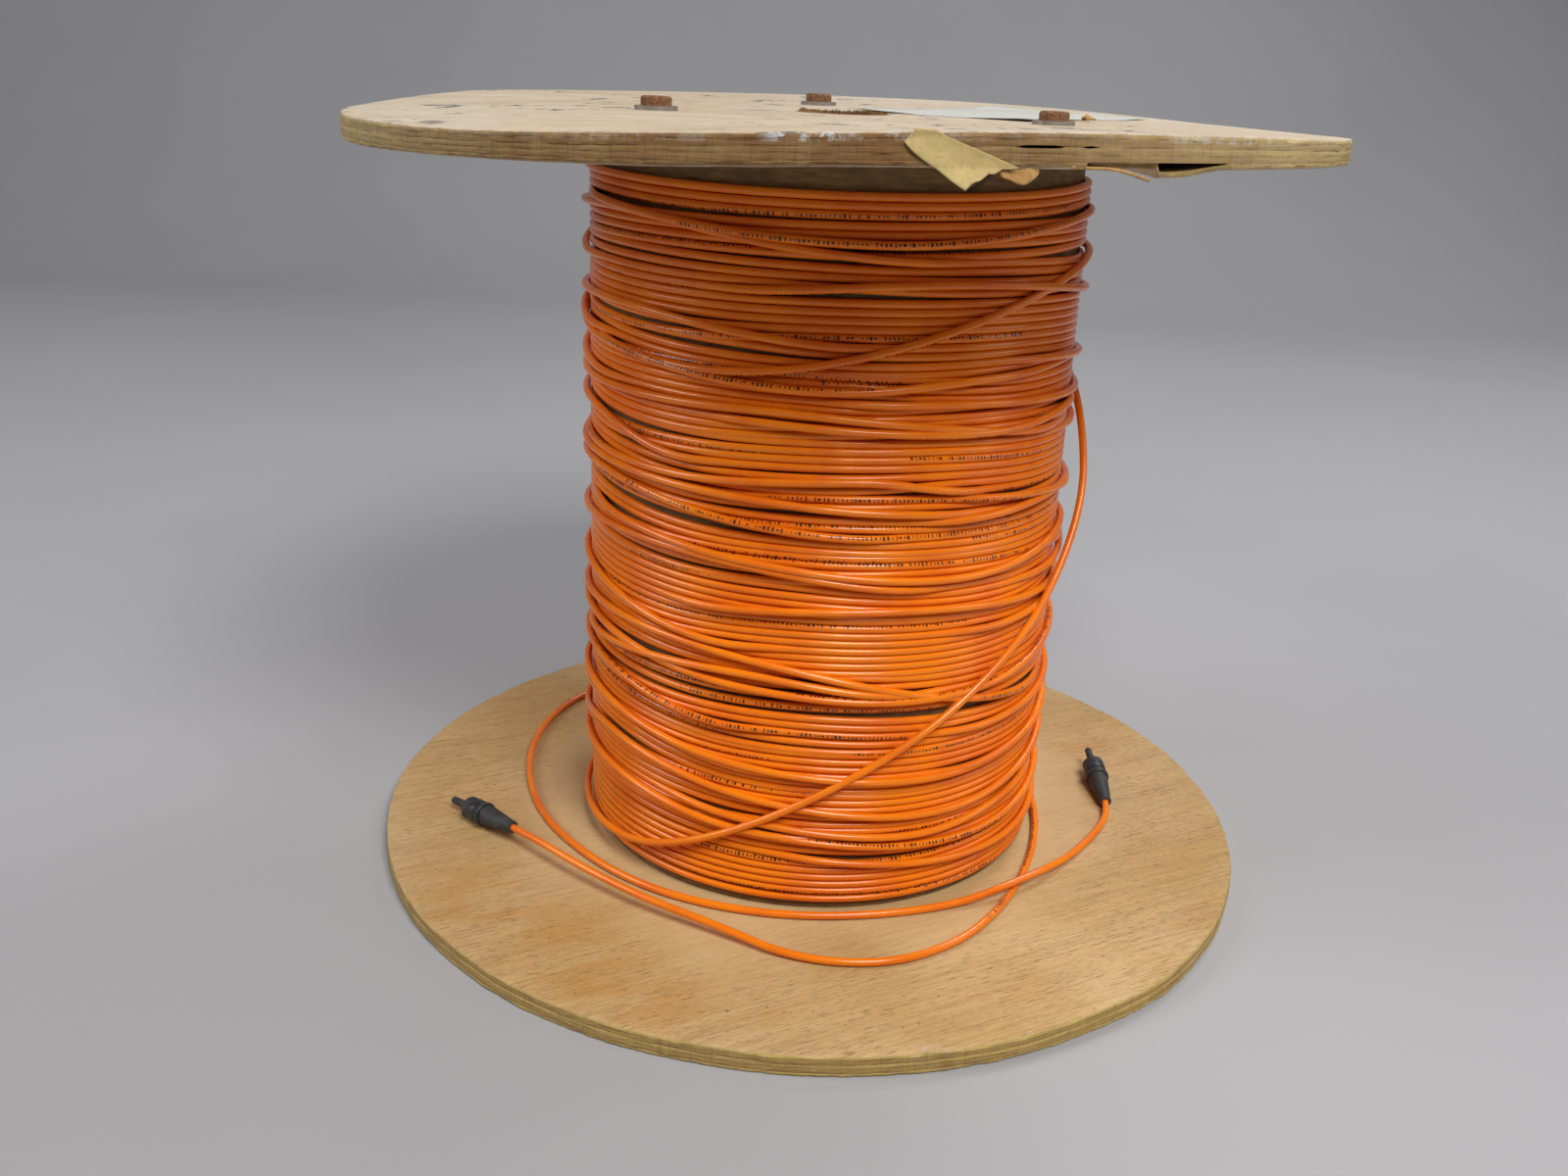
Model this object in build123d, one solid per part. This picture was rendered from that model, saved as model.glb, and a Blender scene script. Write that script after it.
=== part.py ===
from build123d import *
import math
import os

# Cable reel: two plywood flanges on a fibreboard core, held by three long tie bolts,
# with one layer of slim cable wound on the core. Both cable ends lie loose on the
# lower flange and end in capped connectors. Lengths are millimetres, angles degrees.
# The origin is on the reel's axis, at the underside of the lower flange, +Z up.

# Flanges
flange_diameter = 304.8
flange_thickness = 7.0
flange_gap = 235.0
rim_ease = 0.5
arbor_hole_diameter = 25.4

# Core tube, let into a shallow groove in each flange
core_outer_diameter = 154.4
core_wall = 5.0
core_seat_depth = 2.0
core_fit = 0.2

# Tie bolts, washers and tee nuts
bolt_count = 3
bolt_core_gap = 1.6
bolt_first_azimuth = -24.0
bolt_diameter = 4.8
bolt_fit = 0.2
bolt_end_recess = 0.4
head_across_flats = 7.9
head_height = 2.7
head_chamfer = 0.5
washer_diameter = 12.7
washer_thickness = 1.2
tee_flange_diameter = 19.0
tee_flange_thickness = 1.2
tee_barrel_diameter = 7.0
tee_barrel_length = 5.0
tee_fit = 0.2
tee_recess = 0.3

# Cable winding: one layer, in groups of turns with a gap between them, and the first and
# last turns standing out one by one
cable_diameter = 2.5
layer_fit = 0.2
winding_foot_gap = 2.0
winding_head_gap = 9.5
end_turns = 2
turn_groups = 13
bead_flank_share = 0.3

# Connector: boot, coupling sleeve and dust cap, measured along its axis
boot_length = 15.2
boot_front_diameter = 7.4
boot_tail_diameter = 4.6
boot_tail_length = 2.2
boot_socket_depth = 3.0
boot_socket_fit = 0.1
sleeve_length = 7.6
sleeve_diameter = 8.2
sleeve_lip_diameter = 8.6
sleeve_lip_length = 1.2
sleeve_groove_depth = 0.4
sleeve_groove_width = 0.8
sleeve_groove_setback = 1.4
cap_collar_diameter = 8.0
cap_collar_length = 2.2
cap_pin_diameter = 2.7
cap_pin_length = 10.0
cap_pin_bevel = 0.6

# Where the connectors lie on the lower flange: place of the boot's end and plan heading
seat_gap = 0.15
left_boot_azimuth = -156.0
left_boot_reach = 111.3
left_heading = 137.7
left_tilt = -5.0
right_boot_azimuth = -1.0
right_boot_reach = 110.4
right_heading = 91.2

# Paper label on the upper flange
label_length = 100.0
label_width = 64.0
label_thickness = 0.2
label_reach = 74.0
label_azimuth = 38.4
label_turn = 57.0

# Torn strip of masking tape over the upper rim
tape_width = 30.0
tape_top_reach = 6.0
tape_drop = 5.5
tape_thickness = 0.25
tape_gap = 0.05
tape_azimuth = -78.5

# Cable tails: a corner's arc takes this share of its shorter run
arc_run_share = 0.45

# Outer tail, from the top of the winding to the left boot: azimuth, radius, height
outer_route = [
    (128, 81.9, 231.0),
    (113, 82.6, 227.5),
    (88, 83.6, 217.5),
    (60, 84.1, 203.0),
    (32, 84.0, 186.5),
    (8, 83.2, 169.5),
    (-4, 86.0, 152.0),
    (-13.5, 88.0, 131.0),
    (-26, 84.0, 106.0),
    (-44, 83.3, 90.0),
    (-66, 83.7, 70.0),
    (-90, 83.8, 49.3),
    (-113, 83.8, 30.2),
    (-135, 83.6, 16.6),
    (-160, 83.9, 13.4),
    (-188, 84.2, 13.4),
    (-217, 84.2, 13.9),
    (-246, 84.2, 14.3),
    (-275, 84.2, 14.5),
    (-303, 84.1, 14.0),
    (-328, 83.9, 12.4),
    (-349, 84.3, 10.0),
    (-367, 84.0, 8.5),
    (-384, 86.3, 8.4),
    (-399, 91.5, 8.4),
    (-413, 99.4, 8.4),
    (-425, 107.2, 8.4),
    (-438, 112.0, 8.4),
    (-452.6, 108.6, 8.6),
    (-466.5, 100.6, 11.2),
    (-481.6, 100.0, 12.7),
    (-498, 102.0, 13.5),
]

# Inner tail, from the right boot to the bottom of the winding: azimuth, radius, height
inner_route = [
    (-13, 105.3, 8.4),
    (-24, 99.3, 8.5),
    (-35, 95.8, 13.6),
    (-46.5, 92.0, 13.6),
    (-57, 88.4, 8.5),
    (-74, 85.4, 8.4),
    (-93, 85.4, 8.4),
    (-112, 87.2, 8.4),
    (-130, 90.0, 8.4),
    (-148, 93.1, 8.4),
    (-165, 98.9, 8.4),
    (-181, 105.0, 8.4),
    (-195, 112.3, 8.4),
    (-208.5, 119.8, 8.4),
    (-222, 124.6, 8.4),
    (-236.5, 122.0, 8.4),
    (-252, 110.5, 8.4),
    (-270, 97.0, 8.8),
    (-290, 87.2, 9.6),
    (-309, 83.2, 10.1),
    (-322, 81.9, 10.3),
]

# Distance from each boot to the first bend of its cable
left_cable_lead = 11.0
right_cable_lead = 6.0

# Heights and radii that follow
upper_flange_base = flange_thickness + flange_gap
upper_face = upper_flange_base + flange_thickness
flange_radius = flange_diameter / 2
core_outer_radius = core_outer_diameter / 2
core_inner_radius = core_outer_radius - core_wall
core_base = flange_thickness - core_seat_depth
core_length = flange_gap + 2 * core_seat_depth
bolt_radius = bolt_diameter / 2
bolt_circle_radius = core_inner_radius - bolt_core_gap - bolt_radius
cable_radius = cable_diameter / 2
winding_inner_radius = core_outer_radius + layer_fit
winding_outer_radius = core_outer_radius + cable_diameter
winding_base = flange_thickness + winding_foot_gap
winding_top = upper_flange_base - winding_head_gap
STANDING = (Align.CENTER, Align.CENTER, Align.MIN)


def disc(radius, height, base):
    """A round disc that stands on the height given as its base."""
    return Pos(0, 0, base) * Cylinder(radius, height, align=STANDING)


def polar(azimuth, radius, height):
    """The point at an azimuth, radius and height about the reel's axis."""
    turn = math.radians(azimuth)
    return Vector(radius * math.cos(turn), radius * math.sin(turn), height)


def turned(profile_points):
    """A solid turned about Z from a closed outline of radius and height pairs."""
    outline = Polyline([(radius, 0, height) for radius, height in profile_points], close=True)
    return revolve(make_face(outline), Axis.Z)


bolt_azimuths = [bolt_first_azimuth + 360 * index / bolt_count for index in range(bolt_count)]


# Flanges

def flange(base, groove_floor):
    """A plywood disc with eased rim, arbor hole and the groove that seats the core."""
    blank = disc(flange_radius, flange_thickness, base)
    blank = chamfer(blank.edges().filter_by(GeomType.CIRCLE), rim_ease)
    arbor_hole = disc(arbor_hole_diameter / 2, flange_thickness, base)
    groove = disc(core_outer_radius + core_fit, core_seat_depth, groove_floor)
    groove -= disc(core_inner_radius - core_fit, core_seat_depth, groove_floor)
    return blank - arbor_hole - groove


def bored(plate, radius, height, base):
    """The plate with one round hole of that radius at each bolt."""
    for azimuth in bolt_azimuths:
        plate -= Pos(*polar(azimuth, bolt_circle_radius, base)) * Cylinder(radius, height, align=STANDING)
    return plate


lower_flange = flange(0, core_base)
lower_flange = bored(lower_flange, tee_barrel_diameter / 2 + tee_fit, flange_thickness, 0)
lower_flange = bored(lower_flange, tee_flange_diameter / 2 + tee_fit, tee_recess + tee_flange_thickness, 0)
upper_flange = flange(upper_flange_base, upper_flange_base)
upper_flange = bored(upper_flange, bolt_radius + bolt_fit, flange_thickness, upper_flange_base)

# Core tube

core_tube = disc(core_outer_radius, core_length, core_base) - disc(core_inner_radius, core_length, core_base)


# Tie bolts, washers and tee nuts

def tie_bolt():
    """A long hexagon bolt that hangs by its head, from washer to tee nut."""
    head_base = upper_face + washer_thickness
    hexagon = RegularPolygon(head_across_flats / 2, 6, major_radius=False)
    head = extrude(Pos(0, 0, head_base) * hexagon, head_height)
    head = chamfer(head.faces().sort_by(Axis.Z)[-1].edges(), head_chamfer)
    return head + disc(bolt_radius, head_base - bolt_end_recess, bolt_end_recess)


def washer():
    """The flat washer under a bolt's head."""
    plate = disc(washer_diameter / 2, washer_thickness, upper_face)
    return plate - disc(bolt_radius + bolt_fit, washer_thickness, upper_face)


def tee_nut():
    """A tee nut, its flange sunk flush in the underside and its barrel in the wood."""
    nut = disc(tee_flange_diameter / 2, tee_flange_thickness, tee_recess)
    nut += disc(tee_barrel_diameter / 2, tee_barrel_length, tee_recess)
    return nut - disc(bolt_radius + bolt_fit, tee_barrel_length, tee_recess)


# Cable winding

def cable_winding():
    """One layer of cable as a turned sleeve: a bead for each end turn, a band for each group."""
    bead_root_radius = winding_outer_radius - cable_radius
    bead_flank = bead_flank_share * cable_diameter
    end_height = end_turns * cable_diameter
    group_height = (winding_top - winding_base - 2 * end_height) / turn_groups
    bands = [cable_diameter] * end_turns + [group_height] * turn_groups + [cable_diameter] * end_turns
    outline = []
    low = winding_base
    for band in bands:
        outline.append((bead_root_radius, low))
        outline.append((winding_outer_radius, low + bead_flank))
        outline.append((winding_outer_radius, low + band - bead_flank))
        low = low + band
    outline.append((bead_root_radius, winding_top))
    outline.append((winding_inner_radius, winding_top))
    outline.append((winding_inner_radius, winding_base))
    return turned(outline)


# Connectors, made along +Z from the boot's end to the tip of the dust cap

def boot():
    """The tapered strain relief with its straight tail and the socket for the cable."""
    body = turned([
        (0, 0),
        (boot_tail_diameter / 2, 0),
        (boot_tail_diameter / 2, boot_tail_length),
        (boot_front_diameter / 2, boot_length),
        (0, boot_length)])
    return body - disc(cable_radius + boot_socket_fit, boot_socket_depth, 0)


def coupling_sleeve():
    """The round coupling sleeve with a rear lip and a groove near its front."""
    groove_top = sleeve_length - sleeve_groove_setback
    groove_foot = groove_top - sleeve_groove_width
    groove_radius = sleeve_diameter / 2 - sleeve_groove_depth
    sleeve = turned([
        (0, 0),
        (sleeve_lip_diameter / 2, 0),
        (sleeve_lip_diameter / 2, sleeve_lip_length),
        (sleeve_diameter / 2, sleeve_lip_length),
        (sleeve_diameter / 2, groove_foot),
        (groove_radius, groove_foot),
        (groove_radius, groove_top),
        (sleeve_diameter / 2, groove_top),
        (sleeve_diameter / 2, sleeve_length),
        (0, sleeve_length)])
    return Pos(0, 0, boot_length) * sleeve


def dust_cap():
    """The dust cap: a collar against the sleeve and a pin with a bevelled tip."""
    tip = cap_collar_length + cap_pin_length
    cap = turned([
        (0, 0),
        (cap_collar_diameter / 2, 0),
        (cap_collar_diameter / 2, cap_collar_length),
        (cap_pin_diameter / 2, cap_collar_length),
        (cap_pin_diameter / 2, tip - cap_pin_bevel),
        (cap_pin_diameter / 2 - cap_pin_bevel, tip),
        (0, tip)])
    return Pos(0, 0, boot_length + sleeve_length) * cap


def connector_plane(boot_azimuth, boot_reach, boot_height, heading, tilt):
    """The plane at a boot's end whose normal points along the connector to its tip."""
    level = math.cos(math.radians(tilt))
    direction = polar(heading, level, math.sin(math.radians(tilt)))
    return Plane(origin=polar(boot_azimuth, boot_reach, boot_height), z_dir=direction)


# The right connector rests on its boot's tail and its sleeve's lip.
lip_rise = (sleeve_lip_diameter - boot_tail_diameter) / 2
right_tilt = math.degrees(math.atan2(lip_rise, boot_length))
right_boot_height = flange_thickness + seat_gap + boot_tail_diameter / 2
right_plane = connector_plane(
    right_boot_azimuth, right_boot_reach, right_boot_height, right_heading, right_tilt)

# The left connector tips forward on its dust cap's collar, held up behind by its stiff cable.
collar_front = boot_length + sleeve_length + cap_collar_length
left_slope = math.radians(left_tilt)
left_boot_height = (flange_thickness + seat_gap
                    + cap_collar_diameter / 2 * math.cos(left_slope)
                    - collar_front * math.sin(left_slope))
left_plane = connector_plane(
    left_boot_azimuth, left_boot_reach, left_boot_height, left_heading, left_tilt)


# Cable tails

def cable_start(plane, lead):
    """The cable's end in the boot's socket, and its first bend behind the boot."""
    socket = plane.origin + plane.z_dir * boot_socket_depth
    return [socket, plane.origin - plane.z_dir * lead]


def corner_radii(points):
    """The arc radius at each inner point of a route, as large as its runs allow."""
    radii = []
    for before, corner, after in zip(points, points[1:], points[2:]):
        shorter = min((corner - before).length, (after - corner).length)
        half_turn = math.radians((corner - before).get_angle(after - corner)) / 2
        radii.append(arc_run_share * shorter / math.tan(half_turn))
    return radii


def tail(name, points):
    """A plain tube of cable along straight runs joined by tangent arcs."""
    radii = corner_radii(points)
    path = FilletPolyline(*points, radius=radii)
    section = Plane(origin=path @ 0, z_dir=path % 0) * Circle(cable_radius)
    tube = sweep(section, path=path)
    expected = math.pi * cable_radius ** 2 * path.length
    print(name, "length", round(path.length, 1), "volume over section times length",
          round(tube.volume / expected, 4))
    print(name, "radii", [round(radius, 1) for radius in radii])
    return tube


outer_points = [polar(*point) for point in outer_route]
outer_points += cable_start(left_plane, left_cable_lead)[::-1]
inner_points = cable_start(right_plane, right_cable_lead)
inner_points += [polar(*point) for point in inner_route]


# Paper label and masking tape

def paper_label():
    """A blank paper label stuck flat on the upper flange."""
    place = Pos(*polar(label_azimuth, label_reach, upper_face)) * Rot(0, 0, label_turn)
    return place * Box(label_length, label_width, label_thickness, align=STANDING)


def masking_tape():
    """A strip of tape folded over the rim, from the upper face down the edge."""
    inner = flange_radius + tape_gap
    outer = inner + tape_thickness
    face = upper_face + tape_gap
    section = Polyline([
        (flange_radius - tape_top_reach, 0, face),
        (inner, 0, face),
        (inner, 0, upper_face - tape_drop),
        (outer, 0, upper_face - tape_drop),
        (outer, 0, face + tape_thickness),
        (flange_radius - tape_top_reach, 0, face + tape_thickness)], close=True)
    sweep_angle = math.degrees(tape_width / flange_radius)
    band = revolve(make_face(section), Axis.Z, revolution_arc=sweep_angle)
    return Rot(0, 0, tape_azimuth - sweep_angle / 2) * band


# One file for each piece

pieces = {
    "lower_flange": lower_flange,
    "upper_flange": upper_flange,
    "core_tube": core_tube,
    "cable_winding": cable_winding(),
    "outer_tail": tail("outer_tail", outer_points),
    "inner_tail": tail("inner_tail", inner_points),
    "paper_label": paper_label(),
    "masking_tape": masking_tape(),
}
for index, azimuth in enumerate(bolt_azimuths, start=1):
    place = Pos(*polar(azimuth, bolt_circle_radius, 0))
    pieces[f"tie_bolt_{index}"] = place * tie_bolt()
    pieces[f"washer_{index}"] = place * washer()
    pieces[f"tee_nut_{index}"] = place * tee_nut()
for side, plane in (("left", left_plane), ("right", right_plane)):
    pieces[f"{side}_boot"] = plane.location * boot()
    pieces[f"{side}_coupling_sleeve"] = plane.location * coupling_sleeve()
    pieces[f"{side}_dust_cap"] = plane.location * dust_cap()

os.makedirs("parts", exist_ok=True)
for name, solid in pieces.items():
    export_step(solid, f"parts/{name}.step")
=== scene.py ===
"""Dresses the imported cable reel: plywood flanges, wound cable, loose ends and studio.

All lengths are in metres and every place is in the CAD frame: the reel's axis is +Z, the
viewer stands towards -Y, and the reel rests on the plane z = 0. Angles named azimuth are in
degrees, anticlockwise from +X as seen from above.
"""

import logging
import math
from dataclasses import dataclass, field
from enum import Enum
from typing import Optional, Sequence, Union

import bpy
import numpy as np
from mathutils import Matrix, Vector


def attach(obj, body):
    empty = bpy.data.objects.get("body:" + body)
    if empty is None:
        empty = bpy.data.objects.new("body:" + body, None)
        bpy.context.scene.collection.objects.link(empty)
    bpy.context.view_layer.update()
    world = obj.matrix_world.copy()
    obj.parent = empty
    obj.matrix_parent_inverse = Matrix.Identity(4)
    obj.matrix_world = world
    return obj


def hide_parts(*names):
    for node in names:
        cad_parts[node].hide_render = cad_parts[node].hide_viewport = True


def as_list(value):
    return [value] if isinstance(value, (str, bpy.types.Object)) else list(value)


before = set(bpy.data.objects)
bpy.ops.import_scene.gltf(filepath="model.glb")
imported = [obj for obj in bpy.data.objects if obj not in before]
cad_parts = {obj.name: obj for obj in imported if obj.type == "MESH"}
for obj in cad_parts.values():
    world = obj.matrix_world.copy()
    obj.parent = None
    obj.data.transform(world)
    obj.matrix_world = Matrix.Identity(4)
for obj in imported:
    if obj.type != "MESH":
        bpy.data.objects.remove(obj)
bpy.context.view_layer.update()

log = logging.getLogger("cable_reel")

MM = 0.001

Array = np.ndarray
Item = bpy.types.Object
Material = bpy.types.Material
Socket = bpy.types.NodeSocket
Pair = tuple[float, float]
Triple = tuple[float, float, float]
Table = tuple[Pair, ...]
Colour = Triple
Share = Optional[float]
Value = Union[float, Sequence[float], Socket]


class Slot(Enum):
    """The record's material slots that the finishes made here belong to."""

    LOWER_PLYWOOD = "lower_plywood"
    UPPER_PLYWOOD = "upper_plywood"
    CABLE_JACKET = "cable_jacket"
    LABEL_PAPER = "label_paper"
    TAPE_PAPER = "tape_paper"
    CONNECTOR_RUBBER = "connector_rubber"
    CONNECTOR_PLASTIC = "connector_plastic"


class Blend(Enum):
    """How a second colour is laid over a first one."""

    MIX = "MIX"
    MULTIPLY = "MULTIPLY"


class Sum(Enum):
    """The sums that the finishes use."""

    ADD = "ADD"
    SUBTRACT = "SUBTRACT"
    MULTIPLY = "MULTIPLY"
    DIVIDE = "DIVIDE"
    POWER = "POWER"
    ABSOLUTE = "ABSOLUTE"
    FRACTION = "FRACT"
    FLOOR = "FLOOR"
    LESS = "LESS_THAN"
    GREATER = "GREATER_THAN"
    ANGLE = "ARCTAN2"


@dataclass(frozen=True)
class Pattern:
    """A layer of noise, and the values between which it comes to show.

    The scale and the stretch count features per metre, and the stretch lies along, across and
    through the grain. The layer shows by its least up to low, and by its most from high on.
    """

    scale: float
    detail: float
    rough: float = 0.55
    low: float = 0.0
    high: float = 1.0
    least: float = 0.0
    most: float = 1.0
    stretch: Optional[Triple] = None


class NodeBench:
    """One material's node tree, with short calls for the nodes that the finishes use."""

    def __init__(self, name: str) -> None:
        """Starts a material with a principled surface.

        Args:
            name: The material's name.
        """
        self.material = bpy.data.materials.new(name)
        self.material.use_nodes = True
        self.tree = self.material.node_tree
        self.tree.nodes.clear()
        self.output = self.tree.nodes.new("ShaderNodeOutputMaterial")
        self.surface = self.tree.nodes.new("ShaderNodeBsdfPrincipled")
        self.tree.links.new(self.surface.outputs["BSDF"], self.output.inputs["Surface"])

    def feed(self, socket: Socket, value: Value) -> None:
        """Links a socket to another one, or sets it to a plain value.

        Args:
            socket: The input to fill.
            value: An output socket, a number, or a colour or vector.
        """
        if isinstance(value, bpy.types.NodeSocket):
            self.tree.links.new(value, socket)
        elif isinstance(value, (int, float)):
            socket.default_value = value
        else:
            values = list(value)
            if len(values) == 3 and len(socket.default_value) == 4:
                values.append(1.0)
            socket.default_value = values

    def surface_is(self, **inputs: Value) -> None:
        """Fills the principled surface's inputs, with _ for a space in a name."""
        for name, value in inputs.items():
            self.feed(self.surface.inputs[name.replace("_", " ")], value)

    def place(self) -> Socket:
        """Returns the point's place in the CAD frame, in metres."""
        return self.tree.nodes.new("ShaderNodeTexCoord").outputs["Object"]

    def uv(self, name: str) -> Socket:
        """Returns the named UV map's coordinates."""
        node = self.tree.nodes.new("ShaderNodeUVMap")
        node.uv_map = name
        return node.outputs["UV"]

    def attribute(self, name: str) -> Socket:
        """Returns a number that the mesh stores at its points."""
        node = self.tree.nodes.new("ShaderNodeAttribute")
        node.attribute_name = name
        return node.outputs["Fac"]

    def stretched(self, vector: Value, scale: Sequence[float], turn: float = 0.0) -> Socket:
        """Turns coordinates about Z and then scales each axis.

        Args:
            vector: The coordinates.
            scale: Features per metre along each turned axis.
            turn: The turn in degrees.

        Returns:
            The new coordinates.
        """
        spin = self.tree.nodes.new("ShaderNodeVectorRotate")
        spin.rotation_type = "Z_AXIS"
        self.feed(spin.inputs["Vector"], vector)
        spin.inputs["Angle"].default_value = math.radians(turn)
        node = self.tree.nodes.new("ShaderNodeVectorMath")
        node.operation = "MULTIPLY"
        self.feed(node.inputs[0], spin.outputs["Vector"])
        self.feed(node.inputs[1], scale)
        return node.outputs["Vector"]

    def split(self, vector: Value) -> tuple[Socket, Socket, Socket]:
        """Returns a vector's three parts."""
        node = self.tree.nodes.new("ShaderNodeSeparateXYZ")
        self.feed(node.inputs[0], vector)
        return node.outputs[0], node.outputs[1], node.outputs[2]

    def chance(self, number: Value) -> Socket:
        """Returns an even random number for each input number."""
        node = self.tree.nodes.new("ShaderNodeTexWhiteNoise")
        node.noise_dimensions = "1D"
        self.feed(node.inputs["W"], number)
        return node.outputs["Value"]

    def sum(self, kind: Sum, first: Value, second: Value = 0.0) -> Socket:
        """Does one sum on two numbers.

        Args:
            kind: The sum.
            first: The first number.
            second: The second number, where the sum has one.

        Returns:
            The result.
        """
        node = self.tree.nodes.new("ShaderNodeMath")
        node.operation = kind.value
        self.feed(node.inputs[0], first)
        self.feed(node.inputs[1], second)
        return node.outputs[0]

    def spread(self, value: Value, low: float, high: float, start: float = 0.0, end: float = 1.0) -> Socket:
        """Maps low..high onto start..end with soft ends.

        Args:
            value: The number to map.
            low: The value that gives start.
            high: The value that gives end.
            start: The result at and below low.
            end: The result at and above high.

        Returns:
            The mapped number.
        """
        node = self.tree.nodes.new("ShaderNodeMapRange")
        node.interpolation_type = "SMOOTHSTEP"
        for name, number in (("From Min", low), ("From Max", high), ("To Min", start), ("To Max", end)):
            node.inputs[name].default_value = number
        self.feed(node.inputs["Value"], value)
        return node.outputs["Result"]

    def tint(self, share: Value, first: Value, second: Value, blend: Blend = Blend.MIX) -> Socket:
        """Lays a second colour over a first one.

        Args:
            share: How much of the second colour shows, from 0 to 1.
            first: The colour below.
            second: The colour above.
            blend: How they mix.

        Returns:
            The mixed colour.
        """
        node = self.tree.nodes.new("ShaderNodeMix")
        node.data_type = "RGBA"
        node.blend_type = blend.value
        self.feed(node.inputs["Factor"], share)
        colours = [s for s in node.inputs if s.type == "RGBA"]
        self.feed(colours[0], first)
        self.feed(colours[1], second)
        return next(s for s in node.outputs if s.type == "RGBA")

    def pattern(self, place: Value, layer: Pattern, turn: float = 0.0) -> Socket:
        """Makes a layer's bare noise.

        Args:
            place: The coordinates.
            layer: The layer.
            turn: How far its stretch is turned, in degrees.

        Returns:
            The noise, from 0 to 1.
        """
        node = self.tree.nodes.new("ShaderNodeTexNoise")
        vector = self.stretched(place, layer.stretch, turn) if layer.stretch else place
        self.feed(node.inputs["Vector"], vector)
        for name, number in (("Scale", layer.scale), ("Detail", layer.detail), ("Roughness", layer.rough)):
            node.inputs[name].default_value = number
        return node.outputs["Fac"]

    def shown(self, noise: Value, layer: Pattern, most: Share = None) -> Socket:
        """Returns how far a layer shows by its noise, up to its own most or the one given."""
        full = layer.most if most is None else most
        return self.spread(noise, layer.low, layer.high, layer.least, full)

    def cover(self, place: Value, layer: Pattern, turn: float = 0.0, most: Share = None) -> Socket:
        """Returns how far a layer shows at a place, with the turn and the most as above."""
        return self.shown(self.pattern(place, layer, turn), layer, most)

    def bump(self, height: Value, depth: float) -> None:
        """Adds a bump to the surface.

        Args:
            height: The height pattern, from 0 to 1.
            depth: The pattern's depth in metres.
        """
        node = self.tree.nodes.new("ShaderNodeBump")
        node.inputs["Distance"].default_value = depth
        self.feed(node.inputs["Height"], height)
        self.tree.links.new(node.outputs["Normal"], self.surface.inputs["Normal"])


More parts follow.
